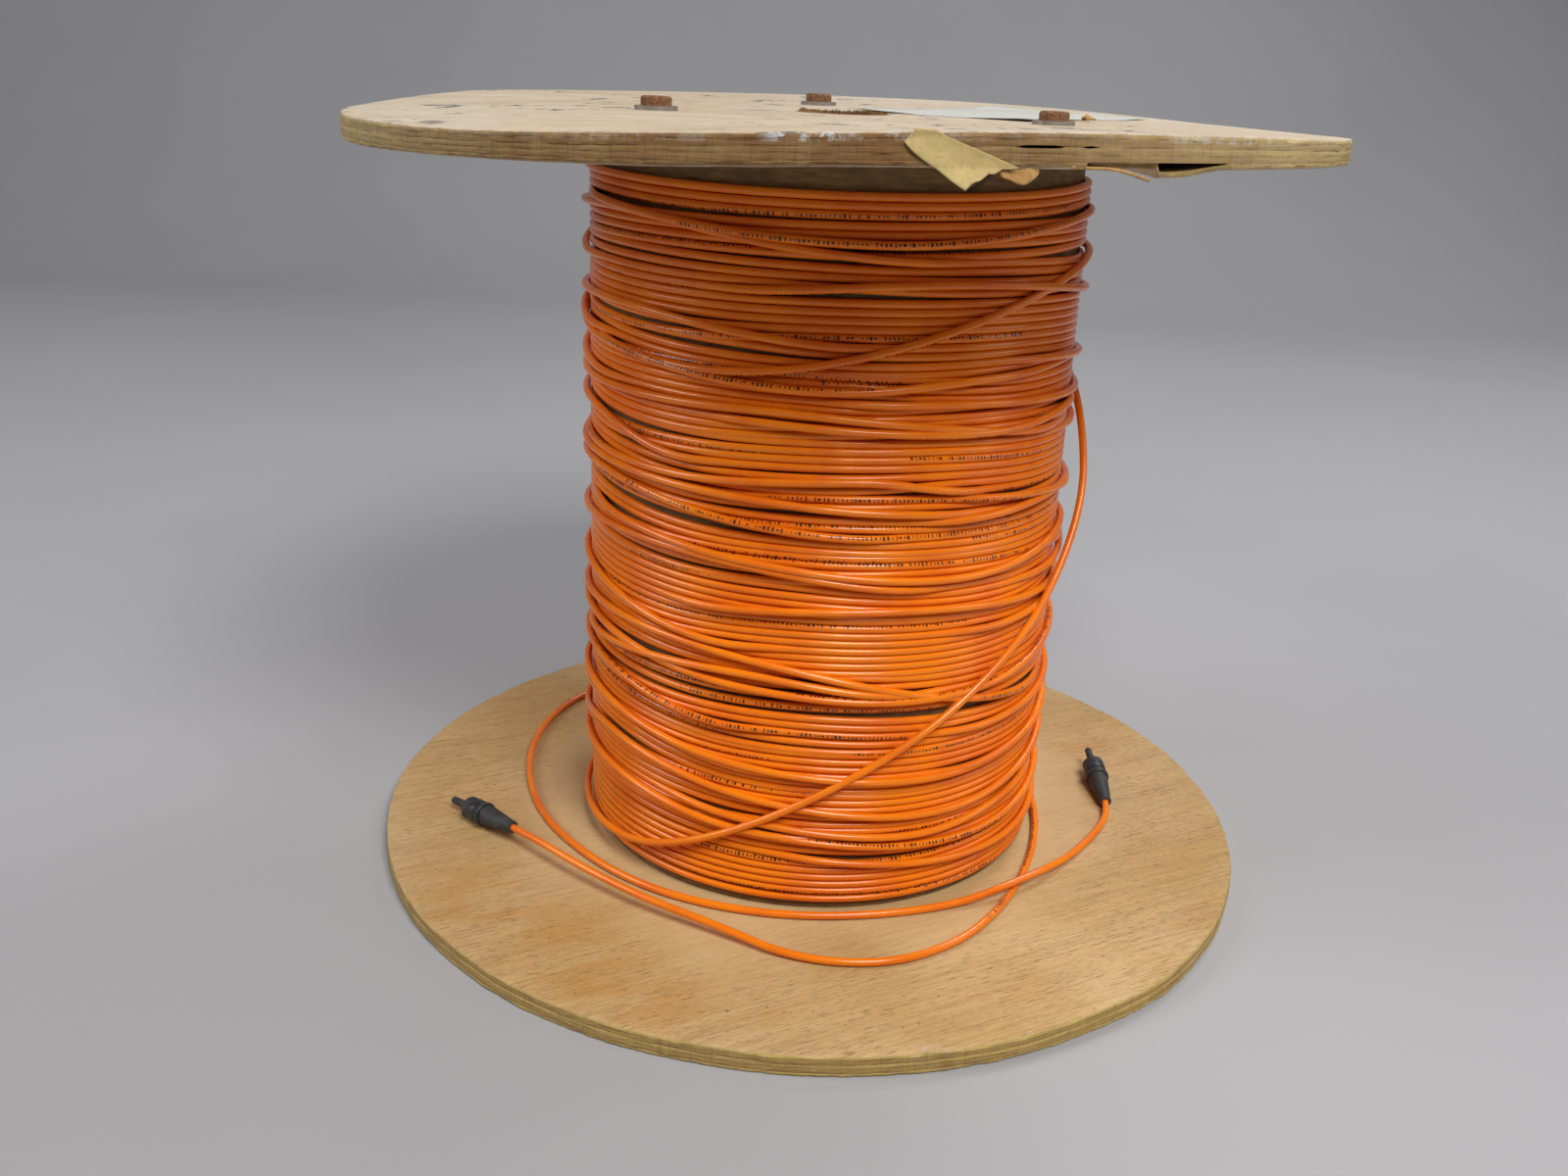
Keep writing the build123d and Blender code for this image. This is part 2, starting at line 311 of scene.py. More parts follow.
@dataclass(frozen=True)
class PlywoodFinish:
    """Bare plywood: a grained face, a rim of plies, stains, handling marks and, where set, a paler ring of
    painted light round the core.
    """

    name: str
    pale: Colour
    warm: Colour
    brown: Colour
    rim_long: Colour
    rim_end: Colour
    glue: Colour = (0.12, 0.075, 0.035)
    pore: Colour = (0.16, 0.09, 0.04)
    soil: Colour = (0.17, 0.073, 0.02)
    stain: Colour = (0.36, 0.15, 0.035)
    amber: Colour = (0.53, 0.27, 0.075)
    scuff: Colour = (0.56, 0.57, 0.57)
    grime: Colour = (0.07, 0.075, 0.085)
    grain_turn: float = 0.0
    cloud_share: float = 0.4
    stain_share: float = 0.5
    line_share: float = 0.55
    fleck_share: float = 0.5
    grime_share: float = 0.0
    # How strongly the paler ring of painted light round the core shows, nought for none.
    painted_light_share: float = 0.0
    soil_below: float = 0.93
    plies: int = 5
    roughness: float = 0.62
    smoother: float = 0.1
    rougher: float = 0.14
    specular: float = 0.32
    relief: float = 0.00022

    BROAD = Pattern(9.0, 4.0, 0.6, 0.36, 0.66)
    CLOUD = Pattern(16.0, 5.0, 0.62, 0.46, 0.78, stretch=(1.0, 7.0, 1.0))
    STREAKS = Pattern(1.0, 5.0, 0.66, 0.40, 0.70, 0.0, 0.34, (30.0, 900.0, 30.0))
    STAINS = Pattern(1.0, 6.0, 0.7, 0.53, 0.74, stretch=(13.0, 21.0, 13.0))
    BLOTS = Pattern(1.0, 5.0, 0.66, 0.36, 0.60, 0.2, 1.0, (26.0, 70.0, 26.0))
    PORES = Pattern(1.0, 2.0, 0.5, 0.52, 0.70, 0.0, 0.42, (300.0, 3000.0, 300.0))
    FLECKS = Pattern(1.0, 1.0, 0.4, 0.62, 0.72, stretch=(230.0, 2000.0, 230.0))
    FLECKED = Pattern(26.0, 3.0, 0.55, 0.36, 0.58, 0.25)
    SPECKS = Pattern(520.0, 1.0, 0.55, 0.74, 0.80, 0.0, 0.6)
    # The wavy edge and the radial span of the painted light ring round the core.
    PAINTED_LIGHT_EDGE = Pattern(20.0, 3.0, 0.55, 0.3, 0.7, -0.010, 0.010)
    PAINTED_LIGHT_SPAN = (0.088, 0.122)
    SMEARS = Pattern(1.0, 4.0, 0.62, 0.57, 0.63, stretch=(85.0, 60.0, 60.0))
    SMEARED = Pattern(13.0, 2.0, 0.55, 0.46, 0.58)
    SMEAR_TURN = 8.0
    FLECK_DEPTH = 0.6
    SAW = Pattern(1.0, 3.0, 0.6, 0.35, 0.68, 0.0, 0.8, (900.0, 900.0, 90.0))
    FIBRE = Pattern(1.0, 4.0, 0.62, 0.35, 0.7, 0.0, 0.55, (34.0, 34.0, 1700.0))
    ODD_PLY = (0.2, 0.3)
    GLUE_SPAN = (0.41, 0.48)
    GLUED = Pattern(48.0, 3.0, 0.55, 0.35, 0.65, 0.35)
    DIRT = Pattern(34.0, 5.0, 0.65, 0.5, 0.74, 0.0, 0.5)
    SOILED = Pattern(70.0, 5.0, 0.7, 0.30, 0.60, 0.76)
    TOP_PLY = (0.72, 0.84)
    KERF = Pattern(1.0, 2.0, 0.55, 0.5, 0.72, 0.0, 0.3, (1500.0, 1500.0, 60.0))
    SAW_DEPTH = 0.6
    SCUFFED = Pattern(260.0, 5.0, 0.75, 0.46, 0.60)
    DULL = Pattern(60.0, 3.0, 0.55, 0.3, 0.7)

    def face(self, bench: NodeBench, place: Socket) -> tuple[Socket, Socket]:
        """Colours the flat faces, and where set, paints light as a paler ring round the core.

        Args:
            bench: The material being made.
            place: The coordinates.

        Returns:
            The face's colour, and its grain as a height.
        """
        turn = self.grain_turn
        colour = bench.tint(bench.cover(place, self.BROAD), self.pale, self.warm)
        colour = bench.tint(bench.cover(place, self.CLOUD, turn, self.cloud_share), colour, self.brown)
        streaks = bench.pattern(place, self.STREAKS, turn)
        colour = bench.tint(bench.shown(streaks, self.STREAKS), colour, self.brown, Blend.MULTIPLY)
        colour = bench.tint(bench.cover(place, self.STAINS, turn, self.stain_share), colour, self.stain)
        soaked = bench.sum(Sum.MULTIPLY, bench.attribute("amber"), bench.cover(place, self.BLOTS, turn))
        colour = bench.tint(soaked, colour, self.amber)
        colour = bench.tint(bench.cover(place, self.PORES, turn), colour, self.pore)
        flecks = bench.cover(place, self.FLECKS, turn, self.fleck_share)
        fleck = bench.sum(Sum.MULTIPLY, flecks, bench.cover(place, self.FLECKED))
        colour = bench.tint(fleck, colour, self.pore)
        colour = bench.tint(bench.cover(place, self.SPECKS), colour, self.grime)
        # Painted light: a paler ring on the face round the core, fading out from 88 to 122 mm from the axis.
        if self.painted_light_share:
            x, y, _ = bench.split(place)
            square = bench.sum(Sum.ADD, bench.sum(Sum.MULTIPLY, x, x), bench.sum(Sum.MULTIPLY, y, y))
            reach = bench.sum(Sum.POWER, square, 0.5)
            edge = bench.sum(Sum.ADD, reach, bench.cover(place, self.PAINTED_LIGHT_EDGE))
            ring = bench.spread(edge, *self.PAINTED_LIGHT_SPAN, self.painted_light_share, 0.0)
            colour = bench.tint(ring, colour, self.pale)
        if self.grime_share:
            smears = bench.cover(place, self.SMEARS, self.SMEAR_TURN, self.grime_share)
            marks = bench.sum(Sum.MULTIPLY, smears, bench.cover(place, self.SMEARED))
            colour = bench.tint(marks, colour, self.grime)
        height = bench.sum(Sum.SUBTRACT, streaks, bench.sum(Sum.MULTIPLY, fleck, self.FLECK_DEPTH))
        return colour, height

    def rim(self, bench: NodeBench, place: Socket) -> tuple[Socket, Socket]:
        """Colours the rim's plies.

        Args:
            bench: The material being made.
            place: The coordinates.

        Returns:
            The rim's colour, and its saw marks as a height.
        """
        layer = bench.sum(Sum.MULTIPLY, bench.attribute("ply"), float(self.plies))
        within = bench.sum(Sum.FRACTION, layer)
        odd = bench.sum(Sum.FRACTION, bench.sum(Sum.MULTIPLY, bench.sum(Sum.FLOOR, layer), 0.5))
        saw = bench.pattern(place, self.SAW)
        fibre = bench.pattern(place, self.FIBRE)
        long_ply = bench.tint(bench.shown(fibre, self.FIBRE), self.rim_long, self.brown)
        end_ply = bench.tint(bench.shown(saw, self.SAW), self.rim_end, self.brown)
        colour = bench.tint(bench.spread(odd, *self.ODD_PLY), long_ply, end_ply)
        edge = bench.sum(Sum.ABSOLUTE, bench.sum(Sum.SUBTRACT, within, 0.5))
        glue = bench.spread(edge, *self.GLUE_SPAN, 0.0, self.line_share)
        line = bench.sum(Sum.MULTIPLY, glue, bench.cover(place, self.GLUED))
        colour = bench.tint(line, colour, self.glue)
        colour = bench.tint(bench.cover(place, self.DIRT), colour, self.brown, Blend.MULTIPLY)
        soil = bench.sum(Sum.MULTIPLY, bench.attribute("soil"), bench.cover(place, self.SOILED))
        top_ply = bench.spread(bench.attribute("ply"), *self.TOP_PLY, self.soil_below, 1.0)
        colour = bench.tint(bench.sum(Sum.MULTIPLY, soil, top_ply), colour, self.soil)
        colour = bench.tint(bench.cover(place, self.KERF), colour, self.brown, Blend.MULTIPLY)
        height = bench.sum(Sum.ADD, bench.sum(Sum.MULTIPLY, saw, self.SAW_DEPTH), fibre)
        return colour, height

    def material(self) -> Material:
        """Returns the finish as a material."""
        bench = NodeBench(self.name)
        place = bench.place()
        face, grain = self.face(bench, place)
        rim, saw = self.rim(bench, place)
        on_rim = bench.attribute("rim")
        colour = bench.tint(on_rim, face, rim)
        scuffed = bench.sum(Sum.MULTIPLY, bench.attribute("scuff"), bench.cover(place, self.SCUFFED))
        bench.surface_is(Base_Color=bench.tint(scuffed, colour, self.scuff))
        dull = bench.pattern(place, self.DULL)
        least, most = self.roughness - self.smoother, self.roughness + self.rougher
        bench.surface_is(Roughness=bench.spread(dull, self.DULL.low, self.DULL.high, least, most))
        bench.surface_is(Specular_IOR_Level=self.specular)
        bench.bump(bench.tint(on_rim, grain, saw), self.relief)
        return bench.material


@dataclass(frozen=True)
class BoardFinish:
    """Brown wound fibreboard with spiral seams and scuffs."""

    name: str = "core_board"
    board: Colour = (0.25, 0.155, 0.064)
    shade: Colour = (0.15, 0.09, 0.035)
    seam: Colour = (0.06, 0.05, 0.04)
    seam_pitch: float = 0.30
    seam_phase: float = 0.451
    seam_half: float = 0.004
    seam_share: float = 0.8
    specular: float = 0.25
    dull: Pair = (0.7, 0.9)
    relief: float = 0.00012

    FIBRES = Pattern(1.0, 4.0, 0.6, 0.3, 0.7, stretch=(160.0, 160.0, 900.0))
    CLOUD = Pattern(40.0, 4.0, 0.55, 0.45, 0.7, 0.0, 0.5)
    DULL_SPAN = (0.2, 0.8)

    def material(self) -> Material:
        """Returns the finish as a material."""
        bench = NodeBench(self.name)
        place = bench.place()
        x, y, z = bench.split(place)
        angle = bench.sum(Sum.DIVIDE, bench.sum(Sum.ANGLE, y, x), 2.0 * math.pi)
        rise = bench.sum(Sum.DIVIDE, z, self.seam_pitch)
        spiral = bench.sum(Sum.ADD, bench.sum(Sum.SUBTRACT, angle, rise), self.seam_phase)
        aside = bench.sum(Sum.ABSOLUTE, bench.sum(Sum.SUBTRACT, bench.sum(Sum.FRACTION, spiral), 0.5))
        fibres = bench.pattern(place, self.FIBRES)
        colour = bench.tint(bench.shown(fibres, self.FIBRES), self.board, self.shade)
        colour = bench.tint(bench.cover(place, self.CLOUD), colour, self.shade)
        colour = bench.tint(bench.spread(aside, self.seam_half, 0.0, 0.0, self.seam_share), colour, self.seam)
        bench.surface_is(Base_Color=colour, Specular_IOR_Level=self.specular)
        bench.surface_is(Roughness=bench.spread(fibres, *self.DULL_SPAN, *self.dull))
        bench.bump(fibres, self.relief)
        return bench.material


@dataclass(frozen=True)
class JacketFinish:
    """Satin orange cable jacket with a plain row of printed length ticks."""

    name: str = "cable_jacket"
    jacket: Colour = (0.90, 0.222, 0.005)
    deep: Colour = (0.80, 0.155, 0.004)
    dust: Colour = (0.62, 0.42, 0.27)
    ink: Colour = (0.018, 0.014, 0.012)
    tick_pitch: float = 0.0013
    tick_width: Pair = (0.22, 0.68)
    tick_height: Pair = (0.45, 1.0)
    tick_gaps: float = 0.13
    print_repeat: float = 0.61
    print_share: float = 0.4
    print_half_turn: float = 0.088
    specular: float = 0.46
    dull: Pair = (0.17, 0.26)
    relief: float = 0.00003

    CLOUD = Pattern(45.0, 3.0, 0.55, 0.35, 0.7)
    DUST = Pattern(240.0, 4.0, 0.65, 0.56, 0.76, 0.0, 0.07)
    INKED = Pattern(900.0, 2.0, 0.55, 0.34, 0.52, 0.5, 0.95)
    GRAIN = Pattern(1500.0, 2.0)
    DULL_SPAN = (0.25, 0.75)
    HEIGHT_DRAW = 0.37
    GAP_DRAW = 0.71

    def ticks(self, bench: NodeBench) -> Socket:
        """Lays a row of uneven ink ticks along the cable.

        Args:
            bench: The material being made.

        Returns:
            How much ink shows, from 0 to 1.
        """
        along, around, _ = bench.split(bench.uv(Tube.UV_NAME))
        turned = bench.sum(Sum.FRACTION, bench.sum(Sum.ADD, around, 0.5))
        aside = bench.sum(Sum.ABSOLUTE, bench.sum(Sum.SUBTRACT, turned, 0.5))
        cell = bench.sum(Sum.DIVIDE, along, self.tick_pitch)
        number = bench.sum(Sum.FLOOR, cell)
        within = bench.sum(Sum.FRACTION, cell)
        wide = bench.spread(bench.chance(number), 0.0, 1.0, *self.tick_width)
        height_draw = bench.chance(bench.sum(Sum.ADD, number, self.HEIGHT_DRAW))
        tall = bench.spread(height_draw, 0.0, 1.0, *self.tick_height)
        gap_draw = bench.chance(bench.sum(Sum.ADD, number, self.GAP_DRAW))
        there = bench.sum(Sum.GREATER, gap_draw, self.tick_gaps)
        in_width = bench.sum(Sum.LESS, within, wide)
        in_height = bench.sum(Sum.LESS, aside, bench.sum(Sum.MULTIPLY, tall, self.print_half_turn))
        stretch = bench.sum(Sum.FRACTION, bench.sum(Sum.DIVIDE, along, self.print_repeat))
        printed = bench.sum(Sum.LESS, stretch, self.print_share)
        mark = bench.sum(Sum.MULTIPLY, bench.sum(Sum.MULTIPLY, in_width, in_height), there)
        inked = bench.cover(bench.place(), self.INKED)
        return bench.sum(Sum.MULTIPLY, bench.sum(Sum.MULTIPLY, mark, printed), inked)

    def material(self) -> Material:
        """Returns the finish as a material."""
        bench = NodeBench(self.name)
        place = bench.place()
        cloud = bench.pattern(place, self.CLOUD)
        colour = bench.tint(bench.shown(cloud, self.CLOUD), self.jacket, self.deep)
        colour = bench.tint(bench.cover(place, self.DUST), colour, self.dust)
        colour = bench.tint(self.ticks(bench), colour, self.ink)
        bench.surface_is(Base_Color=colour, Specular_IOR_Level=self.specular)
        bench.surface_is(Roughness=bench.spread(cloud, *self.DULL_SPAN, *self.dull))
        bench.bump(bench.pattern(place, self.GRAIN), self.relief)
        return bench.material


@dataclass(frozen=True)
class PaperFinish:
    """Matt paper with a fibre mottle, handling dirt and, on tape, fine crepe ridges."""

    name: str
    paper: Colour
    soiled: Colour
    crepe: float = 0.0
    crepe_turn: float = 0.0
    specular: float = 0.28
    dull: Pair = (0.6, 0.8)
    relief: float = 0.00008

    CLOUD = Pattern(38.0, 5.0, 0.6, 0.42, 0.74, 0.0, 0.7)
    FIBRE = Pattern(900.0, 3.0, 0.55, 0.5, 0.75, 0.0, 0.3)
    RIDGES = Pattern(1.0, 2.0, stretch=(2200.0, 260.0, 1200.0))
    DULL_SPAN = (0.3, 0.7)

    def material(self) -> Material:
        """Returns the finish as a material."""
        bench = NodeBench(self.name)
        place = bench.place()
        cloud = bench.pattern(place, self.CLOUD)
        colour = bench.tint(bench.shown(cloud, self.CLOUD), self.paper, self.soiled)
        fibre = bench.pattern(place, self.FIBRE)
        colour = bench.tint(bench.shown(fibre, self.FIBRE), colour, self.soiled, Blend.MULTIPLY)
        bench.surface_is(Base_Color=colour, Specular_IOR_Level=self.specular)
        bench.surface_is(Roughness=bench.spread(cloud, *self.DULL_SPAN, *self.dull))
        height = fibre
        if self.crepe:
            height = bench.tint(self.crepe, fibre, bench.pattern(place, self.RIDGES, self.crepe_turn))
        bench.bump(height, self.relief)
        return bench.material


@dataclass(frozen=True)
class SteelFinish:
    """Steel hardware, from dull zinc to full rust."""

    name: str
    bright: Colour
    rust: Colour
    dark: Colour
    rust_low: float
    rust_high: float
    metal_bare: float
    metal_rusted: float
    dull: Pair = (0.42, 0.82)
    pit_depth: float = 0.5
    relief: float = 0.00018

    BLOOM = Pattern(260.0, 6.0, 0.68)
    PITS = Pattern(1300.0, 3.0, 0.55, 0.38, 0.66)

    def material(self) -> Material:
        """Returns the finish as a material."""
        bench = NodeBench(self.name)
        place = bench.place()
        bloom = bench.pattern(place, self.BLOOM)
        pits = bench.pattern(place, self.PITS)
        rusted = bench.spread(bloom, self.rust_low, self.rust_high)
        scale = bench.tint(bench.shown(pits, self.PITS), self.rust, self.dark)
        bench.surface_is(Base_Color=bench.tint(rusted, self.bright, scale))
        bench.surface_is(Metallic=bench.spread(rusted, 0.0, 1.0, self.metal_bare, self.metal_rusted))
        bench.surface_is(Roughness=bench.spread(rusted, 0.0, 1.0, *self.dull))
        bench.bump(bench.sum(Sum.ADD, bench.sum(Sum.MULTIPLY, pits, self.pit_depth), bloom), self.relief)
        return bench.material


@dataclass(frozen=True)
class MouldedFinish:
    """Dark moulded rubber or plastic with a fine grain and dusty patches."""

    name: str
    body: Colour
    dusty: Colour
    roughness: float
    relief: float
    smoother: float = 0.08
    rougher: float = 0.1
    specular: float = 0.4

    CLOUD = Pattern(320.0, 5.0, 0.65, 0.42, 0.75, 0.0, 0.75)
    GRAIN = Pattern(2600.0, 3.0)
    DULL_SPAN = (0.3, 0.7)

    def material(self) -> Material:
        """Returns the finish as a material."""
        bench = NodeBench(self.name)
        place = bench.place()
        cloud = bench.pattern(place, self.CLOUD)
        colour = bench.tint(bench.shown(cloud, self.CLOUD), self.body, self.dusty)
        bench.surface_is(Base_Color=colour, Specular_IOR_Level=self.specular)
        least, most = self.roughness - self.smoother, self.roughness + self.rougher
        bench.surface_is(Roughness=bench.spread(cloud, *self.DULL_SPAN, least, most))
        bench.bump(bench.pattern(place, self.GRAIN), self.relief)
        return bench.material


@dataclass(frozen=True)
class SweepFinish:
    """The pale paper sweep that the reel stands on."""

    name: str = "studio_sweep"
    paper: Colour = (0.42, 0.42, 0.435)
    shade: Colour = (0.40, 0.40, 0.415)
    roughness: float = 0.75
    specular: float = 0.2

    CLOUD = Pattern(3.0, 3.0, 0.55, 0.3, 0.7)

    def material(self) -> Material:
        """Returns the finish as a material."""
        bench = NodeBench(self.name)
        cloud = bench.cover(bench.place(), self.CLOUD)
        bench.surface_is(Base_Color=bench.tint(cloud, self.paper, self.shade))
        bench.surface_is(Roughness=self.roughness, Specular_IOR_Level=self.specular)
        return bench.material


def polar(azimuth: float, radius: float, height: float) -> Array:
    """Gives a point in metres from its azimuth, and its radius and height in millimetres."""
    turn = math.radians(azimuth)
    return np.array((radius * math.cos(turn), radius * math.sin(turn), height)) * MM


def ring_points(azimuth: Array, radius: Array, height: Array) -> Array:
    """Gives the points of a grid row by row, as polar gives one."""
    turn = np.radians(azimuth)
    return np.stack((radius * np.cos(turn), radius * np.sin(turn), height), 2).reshape(-1, 3) * MM


def place_object(name: str, data: bpy.types.ID) -> Item:
    """Makes an object from its data and puts it in the scene."""
    item = bpy.data.objects.new(name, data)
    bpy.context.scene.collection.objects.link(item)
    return item


def add_piece(
    name: str,
    points: Array,
    faces: Sequence[Sequence[int]],
    finish: Material,
    slot: Slot,
    crisp: float = 180.0,
) -> Item:
    """Makes a mesh piece that rides on the reel.

    Args:
        name: The piece's name.
        points: The mesh's points, in metres.
        faces: The mesh's faces, as point numbers.
        finish: The material.
        slot: The record's slot that the finish belongs to; it is not used.
        crisp: Edges that turn by more than this, in degrees, stay crisp.

    Returns:
        The new piece.
    """
    mesh = bpy.data.meshes.new(name)
    mesh.from_pydata(np.asarray(points, float).tolist(), [], [list(map(int, f)) for f in faces])
    mesh.shade_smooth()
    if crisp < 180.0:
        mesh.set_sharp_from_angle(angle=math.radians(crisp))
    mesh.materials.append(finish)
    piece = place_object(name, mesh)
    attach(piece, "root")
    return piece


def store_marks(piece: Item, marks: dict[str, Array]) -> None:
    """Stores numbers at a piece's points, by name, for its finish to read."""
    for name, values in marks.items():
        layer = piece.data.attributes.new(name, "FLOAT", "POINT")
        layer.data.foreach_set("value", values.astype(np.float32).ravel())


def thicken(sheet: Item, thickness: float, side: float) -> None:
    """Gives a sheet its thickness in metres: below it for side -1, to both sides for 0."""
    skin = sheet.modifiers.new("thickness", "SOLIDIFY")
    skin.thickness = thickness
    skin.offset = side


def grid_faces(rows: int, columns: int, ring: bool, tube: bool = False) -> list[tuple[int, ...]]:
    """Lists the quads of a grid of points.

    Args:
        rows: How many rows of points there are.
        columns: How many points a row has.
        ring: Whether each row closes on itself.
        tube: Whether the last row joins the first one.

    Returns:
        The quads, as point numbers.
    """
    faces = []
    for row in range(rows if tube else rows - 1):
        here, there = row * columns, (row + 1) % rows * columns
        for column in range(columns if ring else columns - 1):
            beside = (column + 1) % columns
            faces.append((here + column, here + beside, there + beside, there + column))
    return faces


@dataclass
class Wear:
    """Seeded smooth noise, for wear that repeats on every run."""

    seed: int
    rng: np.random.Generator = field(init=False)

    def __post_init__(self) -> None:
        """Starts the seeded draw."""
        self.rng = np.random.default_rng(self.seed)

    def round(self, count: int, finest: float) -> Array:
        """Makes noise of unit spread that closes on itself.

        Args:
            count: How many samples go round.
            finest: The number of waves round at which the noise fades out.

        Returns:
            The samples.
        """
        waves = np.fft.rfft(self.rng.standard_normal(count))
        waves *= np.exp(-0.5 * (np.arange(len(waves)) / finest) ** 2)
        waves[0] = 0.0
        noise = np.fft.irfft(waves, count)
        return noise / noise.std()

    def chips(self, azimuths: Array, count: int, width: Pair, depth: Pair) -> Array:
        """Makes scattered chips round an edge.

        Args:
            azimuths: The samples' azimuths, in degrees.
            count: How many chips there are.
            width: The least and most half width, in degrees.
            depth: The least and most depth, in metres.

        Returns:
            The depth at each sample.
        """
        total = np.zeros_like(azimuths)
        for _ in range(count):
            centre = self.rng.uniform(-180.0, 180.0)
            half = self.rng.uniform(*width)
            deep = self.rng.uniform(*depth)
            away = (azimuths - centre + 180.0) % 360.0 - 180.0
            total = np.maximum(total, deep * np.clip(1.0 - (away / half) ** 2, 0.0, 1.0))
        return total


@dataclass(frozen=True)
class Lamp:
    """A soft square lamp that faces the reel, with its azimuth and rise in degrees."""

    name: str
    azimuth: float
    rise: float
    away: float
    size: float
    power: float
    tint: Colour

    def hang(self, target: Vector) -> None:
        """Hangs the lamp, to face that point."""
        data = bpy.data.lights.new(self.name, "AREA")
        data.size = self.size
        data.energy = self.power
        data.color = self.tint
        lamp = place_object(self.name, data)
        turn, lift = math.radians(self.azimuth), math.radians(self.rise)
        flat = math.cos(lift)
        out = Vector((flat * math.cos(turn), flat * math.sin(turn), math.sin(lift)))
        lamp.location = target + out * self.away
        lamp.rotation_mode = "QUATERNION"
        lamp.rotation_quaternion = out.to_track_quat("Z", "Y")


@dataclass
class Studio:
    """The camera at the photograph's place, a pale sweep and soft lamps."""

    lens: float = 33.394
    sensor: float = 36.0
    near_clip: float = 0.01
    camera_place: Triple = (-0.01228, -0.4840, 0.26534)
    pitch: float = 0.3508
    roll: float = 0.0417
    floor_half: float = 2.6
    bend_start: float = 1.15
    bend_radius: float = 0.55
    wall_top: float = 2.2
    bend_steps: int = 24
    world_grey: Colour = (0.80, 0.81, 0.83)
    world_strength: float = 0.09
    lamp_target: Triple = (0.0, 0.0, 0.11)
    lamps: tuple[Lamp, ...] = (
        Lamp("front_softbox", -68.0, 48.0, 1.5, 0.56, 18.4, (1.0, 0.985, 0.96)),
        Lamp("back_softbox", 52.0, 48.0, 1.6, 0.5, 9.5, (0.99, 0.99, 1.0)),
        Lamp("left_fill", -170.0, 31.0, 1.8, 0.8, 12.5, (0.99, 0.99, 1.0)),
        Lamp("right_fill", -6.0, 26.0, 1.8, 0.8, 4.0, (0.99, 0.99, 1.0)),
    )

    def camera(self) -> None:
        """Sets the camera by the place, pitch and roll that the photograph was taken from."""
        sin_p, cos_p = math.sin(self.pitch), math.cos(self.pitch)
        sin_r, cos_r = math.sin(self.roll), math.cos(self.roll)
        right = Vector((cos_r, sin_r * sin_p, sin_r * cos_p))
        up = Vector((-sin_r, cos_r * sin_p, cos_r * cos_p))
        back = Vector((0.0, -cos_p, sin_p))
        turn = Matrix((right, up, back)).transposed().to_4x4()
        data = bpy.data.cameras.new("camera")
        data.lens = self.lens
        data.sensor_width = self.sensor
        data.clip_start = self.near_clip
        camera = place_object("camera", data)
        camera.matrix_world = Matrix.Translation(self.camera_place) @ turn
        bpy.context.scene.camera = camera

    def sweep(self) -> None:
        """Builds the floor that bends up into a backdrop behind the reel."""
        line = [(-self.floor_half, 0.0), (self.bend_start, 0.0)]
        for step in range(1, self.bend_steps + 1):
            turn = 0.5 * math.pi * step / self.bend_steps
            out = self.bend_start + self.bend_radius * math.sin(turn)
            line.append((out, self.bend_radius * (1.0 - math.cos(turn))))
        line.append((line[-1][0], self.wall_top))
        points = [(x, y, z) for y, z in line for x in (-self.floor_half, self.floor_half)]
        mesh = bpy.data.meshes.new("sweep")
        mesh.from_pydata(points, [], grid_faces(len(line), 2, False))
        mesh.shade_smooth()
        mesh.materials.append(SweepFinish().material())
        place_object("sweep", mesh)

    def build(self) -> None:
        """Sets the camera, the sweep, the lamps and the world."""
        self.camera()
        self.sweep()
        for lamp in self.lamps:
            lamp.hang(Vector(self.lamp_target))
        world = bpy.data.worlds.new("studio_world")
        world.use_nodes = True
        ground = world.node_tree.nodes["Background"]
        ground.inputs["Color"].default_value = (*self.world_grey, 1.0)
        ground.inputs["Strength"].default_value = self.world_strength
        bpy.context.scene.world = world
        bpy.context.scene.view_settings.view_transform = "Standard"
        log.info("studio: camera, sweep and %d lamps", len(self.lamps))


@dataclass(frozen=True)
class Tube:
    """A round tube along a line of points, with its length and turn as a UV map."""

    radius: float
    sides: int
    crisp: float = 60.0

    UV_NAME = "jacket"
    CAP_UV = 0.5

    def build(self, name: str, line: Array, outward: Array, twist: Array, finish: Material) -> Item:
        """Makes the tube as a piece.

        Args:
            name: The piece's name.
            line: The centre line's points.
            outward: For each point, the side that the print faces at no twist.
            twist: For each point, how far the print has turned, in turns.
            finish: The jacket's material.

        Returns:
            The new piece.
        """
        count, sides = len(line), self.sides
        along = np.gradient(line, axis=0)
        along /= np.linalg.norm(along, axis=1)[:, None]
        face = outward - (outward * along).sum(1)[:, None] * along
        face /= np.linalg.norm(face, axis=1)[:, None]
        side = np.cross(along, face)
        turn = (np.arange(sides) * 2.0 * math.pi / sides)[None, :, None]
        rings = np.cos(turn) * face[:, None, :] + np.sin(turn) * side[:, None, :]
        points = (line[:, None, :] + self.radius * rings).reshape(-1, 3)
        faces = grid_faces(count, sides, True)
        faces.append(tuple(range(sides - 1, -1, -1)))
        faces.append(tuple(range((count - 1) * sides, count * sides)))
        piece = add_piece(name, points, faces, finish, Slot.CABLE_JACKET, self.crisp)
        steps = np.linalg.norm(np.diff(line, axis=0), axis=1)
        length = np.concatenate(([0.0], np.cumsum(steps)))
        lengths = np.stack((length[:-1], length[:-1], length[1:], length[1:]), 1)
        u = np.repeat(lengths[:, None, :], sides, 1)
        start = np.arange(sides) / sides
        corner = np.stack((start, start + 1.0 / sides, start + 1.0 / sides, start), 1)
        turns = np.stack((twist[:-1], twist[:-1], twist[1:], twist[1:]), 1)
        v = corner[None, :, :] + turns[:, None, :]
        uv = np.full((len(piece.data.loops), 2), self.CAP_UV)
        uv[: u.size, 0] = u.ravel()
        uv[: v.size, 1] = v.ravel()
        layer = piece.data.uv_layers.new(name=self.UV_NAME)
        layer.data.foreach_set("uv", uv.astype(np.float32).ravel())
        return piece


